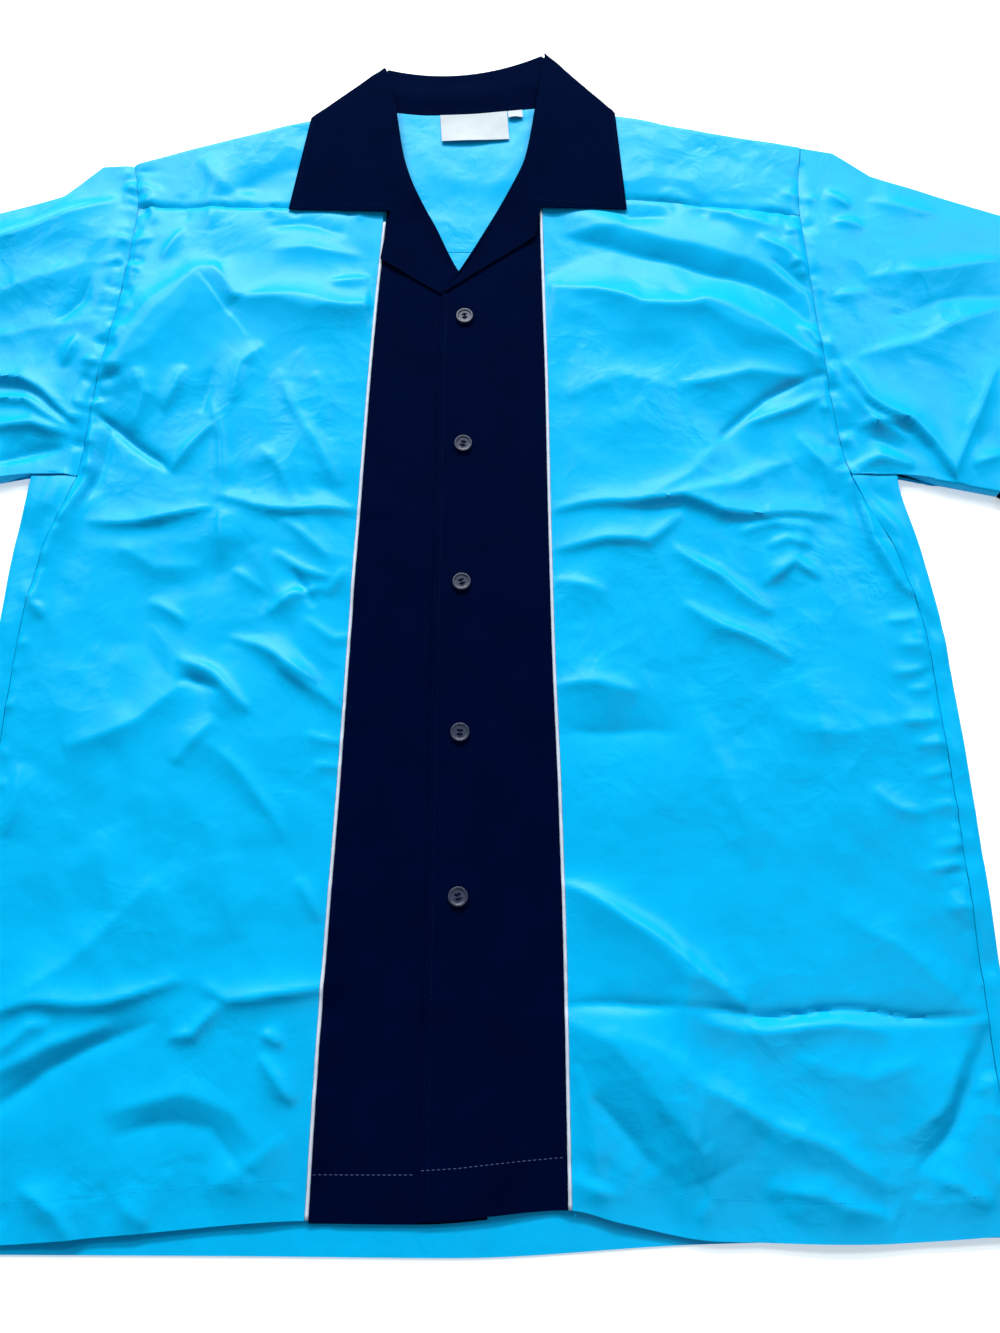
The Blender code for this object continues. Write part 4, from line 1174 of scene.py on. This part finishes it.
def stitchRow(name, path, topFor, material, slot, wide=1.0):
    # lockstitches along a path: short threads that dip into the cloth at both ends
    pitch, length = stitchSizes["pitch"], stitchSizes["length"]
    starts = spread(path, pitch)[:-1]
    ahead = spread(path, pitch)[1:] - starts
    ahead /= np.linalg.norm(ahead, axis=1)[:, None]
    heights = [topFor(starts + ahead * length * t) for t in (0, 0.5, 1)]
    rings = ((0.0, 0.25, -0.16), (0.16, 0.85, 0.0), (0.5, 1.0, 0.06), (0.84, 0.85, 0.0), (1.0, 0.25, -0.16))
    points, faces = [], []
    sides = stitchSizes["sides"]
    for n, (start, way) in enumerate(zip(starts, ahead)):
        base = len(points)
        for t, size, rise in rings:
            low, middle, high = heights[0][n], heights[1][n], heights[2][n]
            z = (low + (middle - low) * 2 * t if t < 0.5 else middle + (high - middle) * (2 * t - 1)) / mm
            centre = start + way * length * t
            for k in range(sides):
                angle = 2 * math.pi * k / sides
                out = stitchSizes["radius"] * wide * size
                points.append((
                    centre[0] - way[1] * out * math.cos(angle),
                    centre[1] + way[0] * out * math.cos(angle),
                    z + rise - stitchSizes["sunk"] + 0.8 * out * math.sin(angle),
                ))
        for r in range(len(rings) - 1):
            for k in range(sides):
                m = (k + 1) % sides
                a, b = base + r * sides, base + (r + 1) * sides
                faces.append((a + k, b + k, b + m, a + m))
        faces.append(tuple(base + k for k in range(sides)))
        faces.append(tuple(base + (len(rings) - 1) * sides + k for k in range(sides))[::-1])
    mesh = bpy.data.meshes.new(name)
    mesh.from_pydata((np.array(points) * mm).tolist(), [], faces)
    mesh.polygons.foreach_set("use_smooth", [True] * len(mesh.polygons))
    wire = bmesh.new()
    wire.from_mesh(mesh)
    bmesh.ops.recalc_face_normals(wire, faces=wire.faces)
    wire.to_mesh(mesh)
    wire.free()
    return sewnOn(name, mesh, material, slot)


def threadMaterial(name, colour):
    # twisted thread: fine slanting bands
    material, tree, shader = makeMaterial(name, colour, 0.6)
    shader.inputs["Specular IOR Level"].default_value = 0.05
    where = addNode(tree, "ShaderNodeTexCoord", (-900, 0)).outputs["Object"]
    ply = texture(
        tree, where, "Wave", (-650, 0), {"bands_direction": "DIAGONAL"}, Scale=900.0, Distortion=0.5
    )
    twist = bump(tree, (-350, -120), ply.outputs["Fac"], 0.4, 0.0001)
    tree.links.new(twist, shader.inputs["Normal"])
    return material


turquoiseThread = threadMaterial("turquoiseThread", (0.0, 0.36, 0.72))
navyThread = threadMaterial("navyThread", (0.0006, 0.0035, 0.028))
paleThread = threadMaterial("paleThread", (0.055, 0.065, 0.15))
whiteThread = threadMaterial("whiteThread", (0.8, 0.81, 0.84))

# how far each row of stitches is from its edge or seam
seamLines = {
    "hemUp": 22.0, "armhole": -2.0, "sideSeam": -1.8, "yoke": 2.2, "piping": 3.0, "frontEdge": 4.5,
}


def hemPath(side, fromX, toX, up):
    s = signs[side]
    xs = np.linspace(fromX, toX, 30)
    return [(s * x - moved[0], frontHemY(s * x) + up - moved[1]) for x in xs]


def shifted(path, side, by):
    # a seam's path moved sideways, away from the middle of the shirt for a positive distance
    return [(x + signs[side] * by, y) for x, y in path]


def onFront(side):
    return lambda points: topOf(side, points)


for side in signs:
    innerX, outerHemX = pipingX[side](20) + 5, seamX[side](12) - 3
    paths = {
        "Hem": hemPath(side, innerX, outerHemX, seamLines["hemUp"]),
        "Armhole": shifted(armholes[side][:-1], side, seamLines["armhole"]),
        "SideSeam": shifted(sideSeams[side], side, seamLines["sideSeam"]),
        "Yoke": [(x, y + seamLines["yoke"]) for x, y in yokeSeams[side] if abs(x) > 118],
        "Piping": shifted(pipings[side][:-1], side, seamLines["piping"]),
    }
    for part, path in paths.items():
        name, wide = f"{side}{part}Stitches", 1.0 if part == "Hem" else 0.8
        made[name] = stitchRow(name, path, onFront("right"), turquoiseThread, "turquoise_cloth", wide)

# the navy hem is sewn with a pale thread, which steps where the left front lies over the right
rightHem = [(x, -391.5) for x in (-88, -72, -56, -42, -27)]
leftHem = [(-25.5, -389.2), (-4, -388.0), (14, -386.0), (34, -384.0), (58, -382.2)]
for side, path in (("right", rightHem), ("left", leftHem)):
    name = f"{side}CentreHem"
    made[name] = stitchRow(name, path, onFront(side), paleThread, "piping_cloth", 1.25)
# the left front's edge is stitched down its whole length
edge = [
    (rollX["left"](y) - moved[0] + seamLines["frontEdge"], y - moved[1]) for y in range(30, 640, 20)
]
made["frontEdgeStitches"] = stitchRow(
    "frontEdgeStitches", edge, onFront("left"), navyThread, "navy_cloth", 0.9
)


def collarPoint(side, a, w):
    row = collarFrontRow(side, a, 200)
    return row[int(round(w * 200))]


for side in signs:
    foot = [collarPoint(side, 0.045, w) for w in np.linspace(0.16, 0.965, 24)]
    rise = [collarPoint(side, a, 0.965) for a in np.linspace(0.08, 0.97, 24)]
    spots = np.array([(x - moved[0], y - moved[1], z) for x, y, z in foot + rise])

    def collarTop(p, spots=spots):
        gaps = np.hypot(p[:, None, 0] - spots[None, :, 0], p[:, None, 1] - spots[None, :, 1])
        return (spots[gaps.argmin(axis=1), 2] + cloth / 2) * mm

    for part, chosen in (("Foot", spots[:24]), ("Edge", spots[24:])):
        name, path = f"{side}Collar{part}Stitches", [tuple(p[:2]) for p in chosen]
        made[name] = stitchRow(name, path, collarTop, navyThread, "navy_cloth", 0.9)
print("stitching made")

labelSizes = {"tilt": 0.06, "lift": 1.3, "curl": 1.7, "wall": 0.45}
labelPlaces = {"label": (-21.0, 31.5, 27.0, 34, 20), "size_tab": (32.3, 43.5, 7.5, 12, 8)}


def labelRows(lowX, highX, depth, across, down):
    # woven tape sewn under the back neck seam, its free edge curling up off the yoke
    rows = []
    for v in shares(down):
        row = []
        for u in shares(across):
            x = lowX + (highX - lowX) * u
            free = 1 - v
            y = neckY(x) - 1.0 - depth * free * (1 + labelSizes["tilt"] * (u - 0.5))
            curl = labelSizes["curl"] * free**2 * (0.8 + 0.35 * math.cos(5.2 * (u - 0.4)))
            z = backZ(x, y) + labelSizes["lift"] + curl
            row.append((x + labelSizes["tilt"] * depth * free, y, z))
        rows.append(row)
    return rows


for node, (lowX, highX, depth, across, down) in labelPlaces.items():
    name = {"label": "neckLabel", "size_tab": "sizeTab"}[node]
    rows = labelRows(lowX, highX, depth, across, down)
    tag = made[name] = sheetObject(name, rows, tape, wall=labelSizes["wall"], folds=False)
    settleIn(tag, node)
    points = np.array(rows, float) - (*moved, 0)
    heads = points[-1, 1:-1] - (0, 1.1, 0)

    def tagTop(p, heads=heads):
        gaps = np.abs(p[:, None, 0] - heads[None, :, 0])
        return (heads[gaps.argmin(axis=1), 2] + labelSizes["wall"] / 2) * mm

    path, name = [tuple(spot[:2]) for spot in heads], name + "Stitches"
    made[name] = stitchRow(name, path, tagTop, whiteThread, "label_cloth", 0.8)
print("labels made")

buttonSizes = {
    "radius": 6.2, "depth": 2.1, "rim": 1.25, "dish": 0.6, "bevel": 0.35,
    "hole": 0.72, "holePitch": 2.7, "thread": 0.34, "threadArch": 0.75, "lift": 0.32, "lean": 1.5,
}


def moulded(name, look):
    # swirled polyester button: slow clouds, fine scratches in the gloss
    material, tree, shader = makeMaterial(name, look["colour"], look["rough"])
    shader.inputs["Coat Weight"].default_value = look["coat"]
    shader.inputs["Coat Roughness"].default_value = 0.15
    where = addNode(tree, "ShaderNodeTexCoord", (-900, 0)).outputs["Object"]
    cloud = texture(tree, where, "Noise", (-650, 120), Scale=260.0, Detail=3.0, Distortion=1.6)
    ramp = addNode(tree, "ShaderNodeValToRGB", (-400, 160))
    for stop, place, share in zip(ramp.color_ramp.elements, (0.3, 0.7), (0.6, 1.5)):
        stop.position = place
        stop.color = (*[c * share for c in look["colour"]], 1)
    tree.links.new(cloud.outputs["Fac"], ramp.inputs["Fac"])
    tree.links.new(ramp.outputs["Color"], shader.inputs["Base Color"])
    scratch = texture(tree, where, "Noise", (-650, -160), Scale=1800.0, Detail=2.0)
    rough = addNode(tree, "ShaderNodeMapRange", (-400, -160))
    setInput(rough, From_Min=0.3, From_Max=0.7, To_Min=look["rough"] * 0.8, To_Max=look["rough"] * 1.3)
    tree.links.new(scratch.outputs["Fac"], rough.inputs["Value"])
    tree.links.new(rough.outputs["Result"], shader.inputs["Roughness"])
    return material


buttonPlastic = moulded("swirledPlastic", {"colour": (0.017, 0.021, 0.045), "rough": 0.38, "coat": 0.06})


def modelButton():
    size = buttonSizes
    nothingSelected()
    depth = size["depth"] * mm
    bpy.ops.mesh.primitive_cylinder_add(
        vertices=64, radius=size["radius"] * mm, depth=depth, location=(0, 0, depth / 2)
    )
    button = bpy.context.object
    bpy.ops.object.transform_apply(location=True, rotation=False, scale=False)
    bpy.ops.object.mode_set(mode="EDIT")
    bpy.ops.mesh.select_all(action="DESELECT")
    edit = bmesh.from_edit_mesh(button.data)
    for face in edit.faces:
        face.select_set(face.normal.z > 0.9)
    bmesh.update_edit_mesh(button.data)
    bpy.ops.mesh.inset(thickness=size["rim"] * mm)
    bpy.ops.mesh.inset(thickness=0.5 * mm)
    bpy.ops.transform.translate(value=(0, 0, -size["dish"] * mm))
    bpy.ops.mesh.inset(thickness=1.0 * mm)
    bpy.ops.mesh.select_all(action="DESELECT")
    edit = bmesh.from_edit_mesh(button.data)
    for face in edit.faces:
        face.select_set(face.normal.z < -0.9)
    bmesh.update_edit_mesh(button.data)
    bpy.ops.mesh.inset(thickness=1.1 * mm)
    bpy.ops.object.mode_set(mode="OBJECT")
    soft = button.modifiers.new("soft edges", "BEVEL")
    soft.width = size["bevel"] * mm
    soft.segments = 3
    soft.limit_method = "ANGLE"
    soft.angle_limit = math.radians(28)
    applied(button, soft)
    half = size["holePitch"] / 2 * mm
    for x, y in ((half, half), (-half, half), (half, -half), (-half, -half)):
        nothingSelected()
        bpy.ops.mesh.primitive_cylinder_add(
            vertices=20, radius=size["hole"] * mm, depth=8 * mm, location=(x, y, 0)
        )
        peg = bpy.context.object
        hole = button.modifiers.new("hole", "BOOLEAN")
        hole.operation = "DIFFERENCE"
        hole.object = peg
        applied(button, hole)
        bpy.data.objects.remove(peg)
    nothingSelected()
    bpy.context.view_layer.objects.active = button
    button.select_set(True)
    bpy.ops.object.shade_smooth_by_angle(angle=math.radians(35))
    return button


def modelThread():
    # two arches of thread, each from one hole over to the next
    size = buttonSizes
    half, top = size["holePitch"] / 2, size["depth"] - size["dish"]
    strands = []
    for y, apart in ((half, -0.28), (half, 0.28), (-half, -0.28), (-half, 0.28)):
        nothingSelected()
        bpy.ops.curve.primitive_bezier_curve_add(location=(0, 0, 0))
        strand = bpy.context.object
        ends = strand.data.splines[0].bezier_points
        for point, s in zip(ends, (-1, 1)):
            point.handle_left_type = point.handle_right_type = "FREE"
            point.co = Vector((s * half, y + apart, 0.3)) * mm
            up = Vector((s * half, y + apart, top + size["threadArch"] * 1.6)) * mm
            point.handle_left = point.handle_right = up
        strand.data.bevel_depth = size["thread"] * mm
        strand.data.bevel_resolution = 2
        strand.data.use_fill_caps = True
        strand.data.resolution_u = 14
        strands.append(strand)
    nothingSelected()
    for strand in strands:
        strand.select_set(True)
    bpy.context.view_layer.objects.active = strands[0]
    bpy.ops.object.convert(target="MESH")
    bpy.ops.object.join()
    return bpy.context.object


firstButton, firstThread = modelButton(), modelThread()
turns = (0.12, -0.2, 0.34, -0.08, 0.22)
for number, angle in enumerate(turns, 1):
    low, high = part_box(f"button_{number}")
    x, y = 500 * (low[0] + high[0]), 500 * (low[1] + high[1])
    base = topOf("left", [(x, y), (x + 1, y)])[0] + buttonSizes["lift"] * mm
    place = Matrix.Translation((x * mm, y * mm, base)) @ Matrix.Rotation(angle, 4, "Z")
    lean = math.radians(buttonSizes["lean"]) * math.cos(3 * number)
    place = place @ Matrix.Rotation(lean, 4, "X")
    for first, part, material, slot in (
        (firstButton, "frontButton", buttonPlastic, "button_plastic"),
        (firstThread, "buttonThread", navyThread, "navy_cloth"),
    ):
        mesh = first.data.copy()
        mesh.transform(place)
        made[f"{part}{number}"] = sewnOn(f"{part}{number}", mesh, material, slot)
    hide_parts(f"button_{number}")
for first in (firstButton, firstThread):
    bpy.data.objects.remove(first)
print("buttons made")
bpy.ops.mesh.primitive_plane_add(size=14, location=(0, 0, -0.0002))
floor = bpy.context.object
floor.name = "paleFloor"
floorPaint, _, floorShader = makeMaterial("palePaper", (0.93, 0.93, 0.93), 0.9)
floor.data.materials.append(floorPaint)
floorShader.inputs["Emission Color"].default_value = (1, 1, 1, 1)
floorShader.inputs["Emission Strength"].default_value = 0.35

world = bpy.data.worlds.new("studio")
bpy.context.scene.world = world
world.use_nodes = True
world.node_tree.nodes["Background"].inputs["Color"].default_value = (0.5, 0.8, 1, 1)
world.node_tree.nodes["Background"].inputs["Strength"].default_value = 0.3


def areaLight(name, place, target, size, power):
    data = bpy.data.lights.new(name, "AREA")
    data.shape = "RECTANGLE"
    data.size, data.size_y = size
    data.energy = power
    lamp = bpy.data.objects.new(name, data)
    bpy.context.scene.collection.objects.link(lamp)
    lamp.location = place
    aim = Vector(target) - Vector(place)
    lamp.rotation_euler = aim.to_track_quat("-Z", "Y").to_euler()
    return lamp


areaLight("windowSide", (-0.3, 3.5, 2.2), (0, 0, 0), (3.0, 0.5), 250.0)
for x in (-1.95, 1.95):
    areaLight("sleeveSide", (x, 2.4, 2.7), (0.2 * x, 0.25, 0), (0.75, 0.75), 46.0)
areaLight("fill", (1.2, -1.2, 2.6), (0, -0.1, 0), (1.6, 1.6), 10)

lens = bpy.data.cameras.new("camera")
lens.sensor_width = 36
lens.lens = 30.0
camera = bpy.data.objects.new("camera", lens)
bpy.context.scene.collection.objects.link(camera)
camera.location = (0.0204, -0.3080, 0.7038)
camera.rotation_euler = (math.radians(17.8), 0, 0)
bpy.context.scene.camera = camera
bpy.context.scene.view_settings.view_transform = "Standard"

print("stage set")
